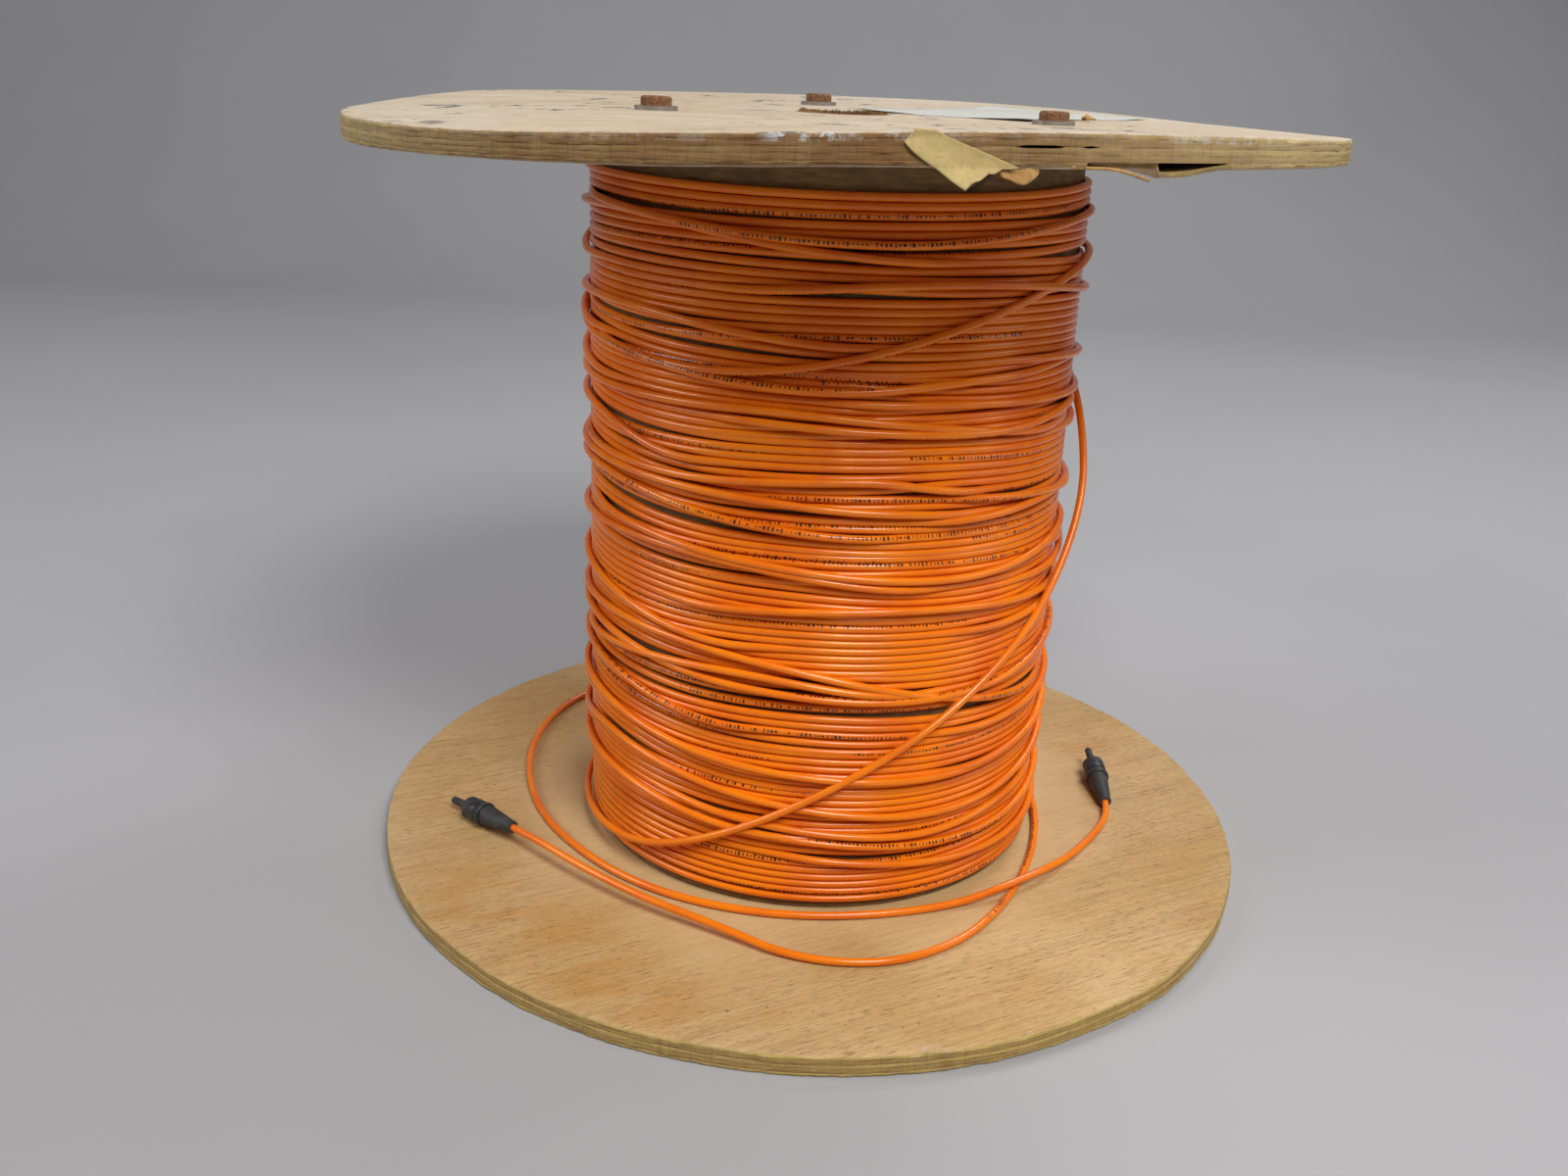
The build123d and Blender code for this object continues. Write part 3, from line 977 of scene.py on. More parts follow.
@dataclass
class Connector:
    """One capped connector: dust cap, coupling sleeve and boot, on one axis.

    The tables in capitals list the turned edges as steps along the axis and in radius, from
    the place and radius that each one starts from, in millimetres.
    """

    side: str
    boot_azimuth: float
    boot_reach: float
    boot_height: float
    heading: float
    tilt: float
    lead: float
    rubber: Material
    plastic: Material
    boot_length: float = 15.2
    boot_bore: float = 2.6
    socket_depth: float = 3.0
    neck_length: float = 1.0
    taper_start: float = 2.2
    taper_power: float = 0.92
    taper_steps: int = 9
    sleeve_length: float = 7.6
    sleeve_bore: float = 2.7
    collar_length: float = 2.2
    pin_length: float = 10.0
    tail_radius: float = 2.3
    front_radius: float = 3.7
    sleeve_radius: float = 4.1
    lip_radius: float = 4.3
    collar_radius: float = 4.0
    pin_radius: float = 1.35
    socket_radius: float = 1.3
    centre_radius: float = 0.05
    segments: int = 40
    crisp: float = 38.0
    pieces: list[Item] = field(default_factory=list)

    BOOT_TAIL = ((0.0, -0.35), (0.1, -0.15), (0.35, -0.02))
    BOOT_NECK = ((0.4, 0.02), (0.8, -0.08), (1.0, -0.3))
    SLEEVE_LIP = ((0.0, -0.22), (0.15, -0.05), (0.4, 0.0), (0.95, 0.0), (1.15, -0.08))
    SLEEVE_SLOT = (
        (1.25, 0.0), (2.3, 0.0), (2.5, -0.04), (2.6, -0.35), (3.2, -0.38), (3.35, -0.04), (3.55, 0.0),
    )
    SLEEVE_END = ((-0.6, 0.0), (-0.25, -0.08), (-0.05, -0.25), (0.0, -0.5))
    COLLAR_BASE = ((0.0, -0.5), (0.06, -0.2), (0.25, -0.03), (0.5, 0.0))
    COLLAR_END = ((-0.55, 0.0), (-0.25, -0.08), (-0.05, -0.3), (0.0, -0.65))
    PIN_BASE = ((0.05, 0.6), (0.3, 0.2), (0.8, 0.05))
    PIN_TIP = ((-1.0, -0.03), (-0.5, -0.1), (-0.15, -0.3), (0.0, -0.6))

    def end(self) -> Array:
        """Returns the boot's open end."""
        return polar(self.boot_azimuth, self.boot_reach, self.boot_height)

    def axis(self) -> Array:
        """Returns the direction from the boot's end to the dust cap's tip."""
        turn, lift = math.radians(self.heading), math.radians(self.tilt)
        flat = math.cos(lift)
        return np.array((flat * math.cos(turn), flat * math.sin(turn), math.sin(lift)))

    def on_axis(self, along: float) -> Array:
        """Returns the point on the axis that far from the boot's end, in millimetres."""
        return self.end() + self.axis() * along * MM

    @staticmethod
    def stepped(steps: Table, along: float, radius: float) -> list[Pair]:
        """Returns a table's points, from a place on the axis and a radius."""
        return [(along + step, radius + rise) for step, rise in steps]

    def turned(self, name: str, node: str, profile: list[Pair], finish: Material, slot: Slot) -> None:
        """Turns a closed profile about the connector's axis.

        Args:
            name: The piece's name.
            node: The CAD node that it stands for.
            profile: Pairs of distance from the boot's end and radius, in millimetres.
            finish: The material.
            slot: The record's slot.
        """
        axis = self.axis()
        across = np.cross((0.0, 0.0, 1.0), axis)
        across /= np.linalg.norm(across)
        over = np.cross(axis, across)
        turn = np.arange(self.segments) * 2.0 * math.pi / self.segments
        ring = np.cos(turn)[:, None] * across + np.sin(turn)[:, None] * over
        points = np.concatenate([self.on_axis(a) + r * MM * ring for a, r in profile])
        faces = grid_faces(len(profile), self.segments, True, True)
        piece = add_piece(name, points, faces, finish, slot, self.crisp)
        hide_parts(node)
        self.pieces.append(piece)

    def boot(self) -> list[Pair]:
        """Returns the boot's profile, a long taper with a bore for the cable."""
        tail, front, start = self.tail_radius, self.front_radius, self.taper_start
        neck = self.boot_length - self.neck_length
        points = [(0.0, self.socket_radius), *self.stepped(self.BOOT_TAIL, 0.0, tail)]
        for share in np.linspace(0.0, 1.0, self.taper_steps):
            points.append((start + (neck - start) * share, tail + (front - tail) * share**self.taper_power))
        points += self.stepped(self.BOOT_NECK, neck, front)
        points += [(neck + self.neck_length, self.boot_bore), (self.socket_depth, self.socket_radius)]
        return points

    def sleeve(self) -> list[Pair]:
        """Returns the sleeve's profile, with a lip, a ring slot and a rounded end."""
        base = self.boot_length
        end = base + self.sleeve_length
        points = [(base, self.sleeve_bore), *self.stepped(self.SLEEVE_LIP, base, self.lip_radius)]
        points += self.stepped(self.SLEEVE_SLOT, base, self.sleeve_radius)
        points += self.stepped(self.SLEEVE_END, end, self.sleeve_radius)
        points.append((end, self.sleeve_bore))
        return points

    def cap(self) -> list[Pair]:
        """Returns the dust cap's profile, a collar with a pin."""
        base = self.boot_length + self.sleeve_length
        step, tip = base + self.collar_length, base + self.collar_length + self.pin_length
        points = [(base, self.centre_radius), *self.stepped(self.COLLAR_BASE, base, self.collar_radius)]
        points += self.stepped(self.COLLAR_END, step, self.collar_radius)
        points += self.stepped(self.PIN_BASE, step, self.pin_radius)
        points += self.stepped(self.PIN_TIP, tip, self.pin_radius)
        points.append((tip, self.centre_radius))
        return points

    def build(self) -> None:
        """Makes the boot, the sleeve and the cap."""
        for name, node, profile, finish, slot in (
            ("strain_boot", "boot", self.boot(), self.rubber, Slot.CONNECTOR_RUBBER),
            ("bayonet_sleeve", "coupling_sleeve", self.sleeve(), self.plastic, Slot.CONNECTOR_PLASTIC),
            ("cap", "dust_cap", self.cap(), self.rubber, Slot.CONNECTOR_RUBBER),
        ):
            self.turned(f"{self.side}_{name}", f"{self.side}_{node}", profile, finish, slot)
        log.info("%s connector: boot, sleeve and cap", self.side)


@dataclass
class CableTail:
    """One loose end of the cable, from the winding to its connector."""

    name: str
    node: str
    route: list[Triple]
    length: float
    connector: Connector
    finish: Material
    print_turn: float = 0.0
    diameter: float = 0.0025
    sides: int = 14
    resolution: int = 10
    plug_depth: float = 3.0
    print_out: float = 0.6
    print_up: float = 0.8
    twist_size: float = 0.35
    twist_rate: float = 7.0
    twist_phase: float = 0.6

    def control_points(self) -> Array:
        """Returns the route, with the lead into the connector's boot at its end."""
        points = [polar(*p) for p in self.route]
        points.append(self.connector.on_axis(-self.connector.lead))
        points.append(self.connector.on_axis(self.plug_depth))
        return np.array(points)

    def centre_line(self) -> Array:
        """Reads the cable's line from a smooth spline through its control points.

        Returns:
            The line's points, from the winding to the connector.
        """
        control = self.control_points()
        curve = bpy.data.curves.new(f"{self.name}_line", "CURVE")
        curve.dimensions = "3D"
        spline = curve.splines.new("NURBS")
        spline.points.add(len(control) - 1)
        for point, place in zip(spline.points, control):
            point.co = (*place, 1.0)
        spline.order_u = 3
        spline.use_endpoint_u = True
        spline.resolution_u = self.resolution
        holder = bpy.data.objects.new(f"{self.name}_line", curve)
        mesh = bpy.data.meshes.new_from_object(holder)
        line = np.array([v.co for v in mesh.vertices], float)
        bpy.data.objects.remove(holder)
        bpy.data.meshes.remove(mesh)
        bpy.data.curves.remove(curve)
        return line

    def build(self) -> None:
        line = self.centre_line()
        radial = line * (1.0, 1.0, 0.0)
        radial /= np.linalg.norm(radial, axis=1)[:, None]
        outward = self.print_out * radial + (0.0, 0.0, self.print_up)
        steps = np.linspace(0.0, 1.0, len(line))
        twist = self.print_turn + self.twist_size * np.sin(self.twist_rate * steps + self.twist_phase)
        tail = Tube(self.diameter / 2.0, self.sides).build(self.name, line, outward, twist, self.finish)
        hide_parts(self.node)
        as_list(self.connector.pieces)
        log.info("%s: %d points along %.3f m", self.name, len(line), self.length)


@dataclass(frozen=True)
class Crossing:
    """A stretch of a turn that leaves its place and rides over its neighbours."""

    azimuth: float
    height: float
    climb_turn: float
    climb: float
    return_turn: float


@dataclass
class Winding:
    """One layer of cable wound on the core, with turns that wander and ride up."""

    finish: Material
    diameter: float = 2.5
    core_radius: float = 77.2
    start_azimuth: float = 38.0
    turns: float = 105.75
    first_height: float = 10.25
    last_height: float = 231.0
    end_radius: float = 81.9
    start_ease: float = 90.0
    end_ease: float = 200.0
    per_turn: int = 102
    sides: int = 9
    seed: int = 41
    slow_waves: int = 44
    slow_orders: int = 6
    slow_drift: float = 0.24
    slow_fall: float = 0.55
    slow_size: float = 1.1
    own_waves: int = 60
    own_rates: Pair = (0.35, 2.6)
    own_fall: float = 0.5
    own_size: float = 0.6
    calm_turns: float = 3.0
    lean_sizes: Pair = (1.0, 0.9)
    lean_turn: float = 20.0
    lean_power: int = 7
    lean_fade: float = 1.2
    settle_rounds: int = 160
    settle_pull: float = 0.012
    settle_smooth: float = 1.1
    below_first: float = 0.4
    above_last: float = 4.5
    loose_crossings: int = 52
    draws_each: int = 6
    climb_range: Pair = (2.6, 6.8)
    upward_share: float = 0.7
    height_range: Pair = (20.0, 214.0)
    climb_turns: Pair = (32.0, 80.0)
    return_turns: Pair = (45.0, 110.0)
    clear_turns: int = 2
    soft_end: float = 0.12
    most_lift: float = 2.9
    lift_turns: int = 18
    lift_reach: int = 4
    lift_smooth: float = 2.4
    radius_smooth: float = 1.6
    hump_length: float = 60.0
    hump_rise: float = 0.163
    hump_bend: float = 0.0033
    twist_smooth: float = 30.0
    twist_size: float = 0.08
    print_out: float = 0.9
    print_up: float = 0.25
    crossings: tuple[Crossing, ...] = (
        Crossing(2.0, 213.5, 127.0, -33.0, 215.0),
        Crossing(-24.0, 75.5, 108.0, 20.0, 225.0),
        Crossing(-36.0, 161.5, 80.0, 8.5, 150.0),
        Crossing(-28.0, 38.0, 40.0, -5.0, 60.0),
        Crossing(-68.0, 211.5, 76.0, 9.0, 130.0),
        Crossing(-14.0, 223.0, 64.0, -6.5, 90.0),
        Crossing(-58.0, 147.5, 28.0, 5.0, 90.0),
        Crossing(-122.0, 153.5, 36.0, 6.0, 90.0),
        Crossing(-70.0, 118.0, 60.0, 6.5, 80.0),
        Crossing(-100.0, 54.0, 45.0, 5.5, 70.0),
        Crossing(-45.0, 182.0, 50.0, -5.0, 65.0),
        Crossing(12.0, 62.0, 78.0, -10.0, 120.0),
        Crossing(4.0, 47.0, 66.0, -8.0, 90.0),
        Crossing(16.0, 34.0, 70.0, -6.5, 100.0),
        Crossing(6.0, 88.0, 84.0, -9.0, 110.0),
        Crossing(-2.0, 128.0, 60.0, -7.0, 100.0),
        Crossing(-86.0, 190.0, 58.0, 6.0, 90.0),
        Crossing(-108.0, 96.0, 62.0, 7.0, 90.0),
        Crossing(-96.0, 30.0, 60.0, 5.0, 80.0),
    )

    def __post_init__(self) -> None:
        """Lays out the samples along the cable."""
        self.count = int(round(self.turns * self.per_turn)) + 1
        self.swept = np.arange(self.count) * 360.0 / self.per_turn
        self.azimuth = self.start_azimuth - self.swept
        self.turn = self.swept / 360.0
        self.rng = np.random.default_rng(self.seed)

    def smooth(self, values: Array, spread: float) -> Array:
        """Evens values out along the cable.

        Args:
            values: One number for each sample.
            spread: The width of the evening, in samples.

        Returns:
            The smoothed numbers.
        """
        reach = int(3 * spread) + 1
        weights = np.exp(-0.5 * (np.arange(-reach, reach + 1) / spread) ** 2)
        padded = np.pad(values, reach, mode="edge")
        return np.convolve(padded, weights / weights.sum(), mode="valid")

    def wander(self) -> Array:
        """Draws how far each sample is pulled from an even pitch.

        Returns:
            The pull at each sample, in millimetres.
        """
        turn_angle = np.radians(self.azimuth)
        pull = np.zeros(self.count)
        for _ in range(self.slow_waves):
            waves = int(self.rng.integers(0, self.slow_orders))
            drift = self.rng.uniform(-self.slow_drift, self.slow_drift)
            size = self.rng.normal() / (1.0 + self.slow_fall * waves)
            phase = 2.0 * math.pi * (drift * self.turn + self.rng.uniform())
            pull += size * np.cos(waves * turn_angle + phase)
        pull *= self.slow_size / pull.std()
        own = np.zeros(self.count)
        for _ in range(self.own_waves):
            rate = self.rng.uniform(*self.own_rates)
            phase = self.rng.uniform(0.0, 2.0 * math.pi)
            size = self.rng.normal()
            own += size * np.cos(rate * np.radians(self.swept) + phase) / (self.own_fall + rate)
        own *= self.own_size / own.std()
        start = np.clip(self.turn / self.calm_turns, 0.0, 1.0)
        end = np.clip((self.turns - self.turn) / self.calm_turns, 0.0, 1.0)
        return (pull + own) * (start * end)

    def even_heights(self, held: Array) -> Array:
        """Gives heights that share the layer out evenly among the turns that lie in it.

        Args:
            held: One where a turn lies in the layer, nought where it rides over it.

        Returns:
            The height at each sample, in millimetres.
        """
        step = self.per_turn
        place = np.arange(self.count) / step
        for start in range(step, self.count, step):
            here = slice(start, min(start + step, self.count))
            below = slice(start - step, here.stop - step)
            place[here] = place[below] + 0.5 * (held[below] + held[here])
        left = (self.count - 1 - np.arange(self.count)) / step
        last = (self.count - 1 - np.arange(self.count)) % step
        top = self.count - 1 - last
        whole = place[top] + left[top]
        share = place / whole
        heights = self.first_height + (self.last_height - self.first_height) * share
        once, twice = self.lean_sizes
        lean = once * np.cos(np.radians(self.azimuth + self.lean_turn))
        lean = lean + twice * np.cos(np.radians(2.0 * self.azimuth))
        fade = np.clip((self.turns - self.turn) / self.lean_fade, 0.0, 1.0)
        return heights + lean * share**self.lean_power * fade

    def settle(self, target: Array, held: Array) -> Array:
        """Pushes neighbouring turns apart until they only touch.

        Args:
            target: The heights that the turns are drawn to.
            held: One where a turn lies in the layer, nought where it rides over it.

        Returns:
            The settled heights.
        """
        step = self.per_turn
        heights = target.copy()
        lowest, highest = self.first_height - self.below_first, self.last_height + self.above_last
        for _ in range(self.settle_rounds):
            gap = heights[step:] - heights[:-step]
            push = 0.5 * np.clip(self.diameter - gap, 0.0, None) * held[step:] * held[:-step]
            heights[:-step] -= push
            heights[step:] += push
            heights += self.settle_pull * (target - heights)
            heights = self.smooth(heights, self.settle_smooth)
            np.clip(heights, lowest, highest, out=heights)
        return heights

    def excursion(self, crossing: Crossing) -> tuple[int, int, Array]:
        """Works out where a crossing starts and ends, and its pull.

        Args:
            crossing: The crossing.

        Returns:
            The first sample, the last, and the pull between them in millimetres.
        """
        level = (crossing.height - self.first_height) / (self.last_height - self.first_height)
        whole = round(level * self.turns - (self.start_azimuth - crossing.azimuth) / 360.0)
        swept = whole * 360.0 + self.start_azimuth - crossing.azimuth
        first = int(swept / 360.0 * self.per_turn)
        length = int((crossing.climb_turn + crossing.return_turn) / 360.0 * self.per_turn)
        last = min(first + length, self.count - 1)
        done = np.arange(last - first) * 360.0 / self.per_turn
        out = np.clip(done / crossing.climb_turn, 0.0, 1.0)
        back = np.clip((done - crossing.climb_turn) / crossing.return_turn, 0.0, 1.0)
        ease = out * out * (3.0 - 2.0 * out) - back * back * (3.0 - 2.0 * back)
        return first, last, crossing.climb * ease

    def lift(self, heights: Array, radii: Array, first: int, last: int) -> Array:
        """Finds the radius at which a stretch rests on the turns below it.

        Args:
            heights: All the heights.
            radii: All the radii so far.
            first: The stretch's first sample.
            last: The sample after its last.

        Returns:
            The stretch's radii, in millimetres.
        """
        here = np.arange(first, last)
        need = np.full(last - first, self.core_radius + self.diameter / 2.0)
        for away in range(-self.lift_turns, self.lift_turns + 1):
            there = here + away * self.per_turn
            good = (there >= 0) & (there < self.count)
            if away == 0 or not good.any():
                continue
            apart = heights[there[good]] - heights[here[good]]
            rise = np.sqrt(np.clip(self.diameter**2 - apart**2, 0.0, None))
            rest = np.where(np.abs(apart) < self.diameter, radii[there[good]] + rise, 0.0)
            need[good] = np.maximum(need[good], rest)
        wide = np.pad(need, self.lift_reach, mode="edge")
        shifts = range(2 * self.lift_reach + 1)
        topmost = np.max([wide[s : s + len(need)] for s in shifts], axis=0)
        return self.smooth(topmost, self.lift_smooth)

    def room_for(self, held: Array, first: int, last: int) -> bool:
        """Tells whether the turns beside a stretch all lie in the layer.

        Args:
            held: One where a turn lies in the layer, nought where it rides over it.
            first: The stretch's first sample.
            last: The sample after its last.

        Returns:
            True where nothing else rides within the clear turns beside it.
        """
        turns_off = np.arange(-self.clear_turns, self.clear_turns + 1)
        beside = np.arange(first, last)[:, None] + turns_off * self.per_turn
        return bool(held[np.clip(beside, 0, self.count - 1)].min() > 0.5)

    def lay(self) -> tuple[Array, Array]:
        """Lays the whole cable.

        Returns:
            The heights and the radii, in millimetres.
        """
        planned = list(self.crossings)
        for _ in range(self.loose_crossings * self.draws_each):
            size = self.rng.uniform(*self.climb_range)
            climb = size * (1.0 if self.rng.uniform() < self.upward_share else -1.0)
            planned.append(
                Crossing(
                    self.rng.uniform(-180.0, 180.0),
                    self.rng.uniform(*self.height_range),
                    self.rng.uniform(*self.climb_turns),
                    climb,
                    self.rng.uniform(*self.return_turns),
                )
            )
        held = np.ones(self.count)
        kept: list[tuple[int, int, Array]] = []
        for crossing in planned:
            first, last, pull = self.excursion(crossing)
            free_room = crossing in self.crossings or self.room_for(held, first, last)
            if len(kept) >= len(self.crossings) + self.loose_crossings or not free_room:
                continue
            inside = np.arange(last - first) / max(1, last - first)
            soft = np.clip(np.minimum(inside, 1.0 - inside) / self.soft_end, 0.0, 1.0)
            held[first:last] = np.minimum(held[first:last], 1.0 - soft)
            kept.append((first, last, pull))
        log.info("winding: %d crossings", len(kept))
        heights = self.settle(self.even_heights(held) + self.wander(), held)
        for first, last, pull in kept:
            heights[first:last] += pull
        base = self.core_radius + self.diameter / 2.0
        radii = np.full(self.count, base)
        for first, last, _ in kept:
            radii[first:last] = np.maximum(radii[first:last], self.lift(heights, radii, first, last))
        radii = np.minimum(radii, base + self.most_lift)
        radii = self.smooth(radii, self.radius_smooth)
        arc = self.swept / 360.0 * 2.0 * math.pi * base
        for away, reach in ((arc, self.start_ease), (arc[-1] - arc, self.end_ease)):
            ease = np.clip(1.0 - away / reach, 0.0, 1.0) ** 2
            radii = np.maximum(radii, base + (self.end_radius - base) * ease)
        left = arc[-1] - arc
        hump = np.clip(1.0 - left / self.hump_length, 0.0, 1.0)
        crest = self.last_height + self.hump_rise * left - self.hump_bend * left**2
        heights = heights + hump * (crest - heights)
        heights[-1] = self.last_height
        return heights, radii

    def build(self) -> None:
        """Makes the wound cable."""
        heights, radii = self.lay()
        angle = np.radians(self.azimuth)
        outward = np.stack((np.cos(angle), np.sin(angle), np.zeros(self.count)), 1)
        line = outward * radii[:, None]
        line[:, 2] = heights
        drift = np.cumsum(self.smooth(self.rng.standard_normal(self.count), self.twist_smooth))
        twist = self.twist_size * drift / np.abs(drift).max() * self.turns
        facing = outward * self.print_out + (0.0, 0.0, self.print_up)
        winding = Tube(self.diameter / 2.0 * MM, self.sides).build(
            "wound_cable", line * MM, facing, twist, self.finish
        )
        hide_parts("cable_winding")
        log.info("winding: %d points, highest lift %.2f mm", self.count, radii.max() - radii.min())


class DiscPart(Enum):
    """The parts of a flange's surface."""

    TOP = "top"
    RIM = "rim"
    LOW = "low"


Chips = tuple[int, Pair, Pair]
Station = tuple[float, float, DiscPart]


@dataclass
class Flange:
    """One plywood disc as a ring of plies, with a worn rim.

    A pair named for a kind of wear holds its size and how many waves go round at most. The
    chips hold how many there are, their half widths in degrees and their depths.
    """

    name: str
    node: str
    slot: Slot
    finish: Material
    underside: float
    seed: int
    thickness: float = 7.0
    radius: float = 152.4
    bore_radius: float = 12.7
    columns: int = 960
    glue_lines: tuple[float, ...] = (1.3, 2.85, 4.15, 5.7)
    groove: float = 0.22
    groove_least: float = 0.7
    groove_wear: Pair = (0.5, 40.0)
    lip: float = 0.16
    edge_row: float = 0.5
    bevel: Pair = (0.25, 0.12)
    bore_steps: tuple[float, ...] = (0.0, 0.6, 1.6, 3.2)
    inner_stations: tuple[float, ...] = (45.0,)
    outer_stations: tuple[float, ...] = (88.0, 97.0, 108.0, 120.0, 132.0, 142.0, 148.5)
    last_step: float = 1.2
    seat_inner: float = 72.1
    seat_outer: float = 77.3
    seat_depth: float = 2.0
    bolt_reach: float = 68.2
    bolt_azimuths: Triple = (-24.0, 96.0, 216.0)
    bolt_hole: float = 2.6
    overrun: float = 3.0
    hole_sides: int = 36
    crisp: float = 50.0
    out_of_round: Pair = (0.22, 14.0)
    ply_wear: Pair = (0.07, 60.0)
    fibre_wear: Pair = (0.035, 260.0)
    edge_wear: Pair = (0.16, 220.0)
    low_chips: Chips = (46, (0.4, 2.2), (0.15, 0.8))
    top_chips: Chips = (34, (0.4, 2.6), (0.10, 0.6))
    chip_size: float = 1.0
    chip_band: float = 0.9
    chip_edge: float = 0.6
    low_inner_share: float = 0.4
    top_inner_share: float = 0.35
    top_ragged_share: float = 0.5
    edge_band: float = 2.0
    scuff_band: float = 1.6
    bore_band: float = 2.0
    bore_soil: float = 0.9
    ply_ends: Pair = (0.001, 0.999)
    soil_table: Table = (
        (-180.0, 0.1), (-120.0, 0.18), (-60.0, 0.05), (60.0, 0.15), (180.0, 0.1),
    )
    scuff_table: Table = (
        (-180.0, 0.0), (-79.0, 0.0), (-78.0, 0.5), (-76.0, 0.5), (-75.0, 0.0), (180.0, 0.0),
    )
    stain_table: tuple[tuple[float, float, float, float, float], ...] = ()
    ragged_bore: float = 0.0

    ON_LINE = 0.01

    def __post_init__(self) -> None:
        """Lays out the samples round the disc."""
        self.azimuth = np.arange(self.columns) * 360.0 / self.columns - 180.0
        self.wear = Wear(self.seed)

    def seat(self, face: float, inward: float) -> list[Pair]:
        """Returns the groove that the core tube is let into, on the face at that height."""
        depth = face + inward * self.seat_depth
        inner, outer = self.seat_inner, self.seat_outer
        return [(inner, face), (inner, depth), (outer, depth), (outer, face)]

    def rim_heights(self) -> list[float]:
        """Returns the rim's rows from the top edge down, with three at each glue line."""
        rows = [self.thickness - self.edge_row]
        for line in reversed(self.glue_lines):
            rows += [(rows[-1] + line + self.lip) / 2.0, line + self.lip, line, line - self.lip]
        rows += [(rows[-1] + self.edge_row) / 2.0, self.edge_row]
        return rows

    def profile(self) -> list[Station]:
        """Lists the section's points round the disc's thickness.

        Returns:
            Radius, height above the underside, and the part that the point is on.
        """
        top, edge = self.thickness, self.radius
        inset, drop = self.bevel
        inner = [self.bore_radius + out for out in self.bore_steps] + [*self.inner_stations]
        outer = [*self.outer_stations, edge - self.last_step]
        seat_top = self.seat(top, -1.0) if self.underside == 0.0 else [(self.seat_outer, top)]
        seat_low = self.seat(0.0, 1.0) if self.underside > 0.0 else [(self.seat_outer, 0.0)]
        stations = [(r, top, DiscPart.TOP) for r in inner]
        stations += [(r, z, DiscPart.TOP) for r, z in seat_top]
        stations += [(r, top, DiscPart.TOP) for r in outer]
        stations += [(edge - inset, top - drop, DiscPart.TOP)]
        stations += [(edge, z, DiscPart.RIM) for z in self.rim_heights()]
        stations += [(edge - inset, drop, DiscPart.LOW)]
        stations += [(r, 0.0, DiscPart.LOW) for r in reversed(outer)]
        stations += [(r, z, DiscPart.LOW) for r, z in reversed(seat_low)]
        stations += [(r, 0.0, DiscPart.LOW) for r in reversed(inner)]
        return stations

    def warp(self, radius: Array, share: Array) -> Array:
        """Returns how far the disc has warped, for a flat disc not at all."""
        return np.zeros_like(radius)

    def damage(self, radius: Array, height: Array, parts: list[DiscPart]) -> tuple[Array, Array]:
        """Returns the radii and heights with the disc's own damage, of which a sound one has none."""
        return radius, height

    def worn(self, wear: Pair) -> Array:
        """Returns one draw of a kind of wear round the disc, from its size and waves."""
        size, waves = wear
        return size * self.wear.round(self.columns, waves)

    def wear_rim(self, radius: Array, height: Array, parts: list[DiscPart]) -> Array:
        """Roughens the rim: uneven plies, saw fibres, chipped edges.

        Args:
            radius: Radius of each point, by row and azimuth.
            height: Height of each point above the underside.
            parts: The part that each row is on.

        Returns:
            The new radii.
        """
        whole = self.worn(self.out_of_round)
        plies = [self.worn(self.ply_wear) for _ in range(len(self.glue_lines) + 1)]
        low_chips = self.chip_size * self.wear.chips(self.azimuth, *self.low_chips)
        top_chips = self.chip_size * self.wear.chips(self.azimuth, *self.top_chips)
        ragged = self.chip_size * np.abs(self.worn(self.edge_wear))
        for row, part in enumerate(parts):
            level = float(np.mean(height[row]))
            below_top = self.thickness - level
            if radius[row].mean() < self.radius - self.edge_band:
                continue
            radius[row] += whole
            if part is DiscPart.RIM:
                ply = sum(level > line for line in self.glue_lines)
                near = min(abs(level - line) for line in self.glue_lines)
                radius[row] += plies[ply] + self.worn(self.fibre_wear)
                if near < self.ON_LINE:
                    radius[row] -= self.groove * (self.groove_least + np.abs(self.worn(self.groove_wear)))
            if level < self.chip_band:
                share = 1.0 if level < self.chip_edge else self.low_inner_share
                radius[row] -= (low_chips + ragged) * share
            if below_top < self.chip_band:
                share = 1.0 if below_top < self.chip_edge else self.top_inner_share
                radius[row] -= (top_chips + self.top_ragged_share * ragged) * share
        return radius

    def cut_holes(self, disc: Item) -> None:
        """Cuts the round holes of the tie bolts.

        Args:
            disc: The disc to cut.
        """
        cutters = [self.cutter(a, r, lo, hi) for a in self.bolt_azimuths for r, lo, hi in self.holes()]
        for cutter in cutters:
            cut = disc.modifiers.new("hole", "BOOLEAN")
            cut.operation = "DIFFERENCE"
            cut.solver = "EXACT"
            cut.object = cutter
        graph = bpy.context.evaluated_depsgraph_get()
        cut_mesh = bpy.data.meshes.new_from_object(disc.evaluated_get(graph))
        disc.modifiers.clear()
        whole, disc.data = disc.data, cut_mesh
        bpy.data.meshes.remove(whole)
        disc.data.name = self.name
        for cutter in cutters:
            bpy.data.objects.remove(cutter)

    def holes(self) -> list[Triple]:
        """Returns each bolt hole's radius and its span above the underside."""
        return [(self.bolt_hole, -self.overrun, self.thickness + self.overrun)]

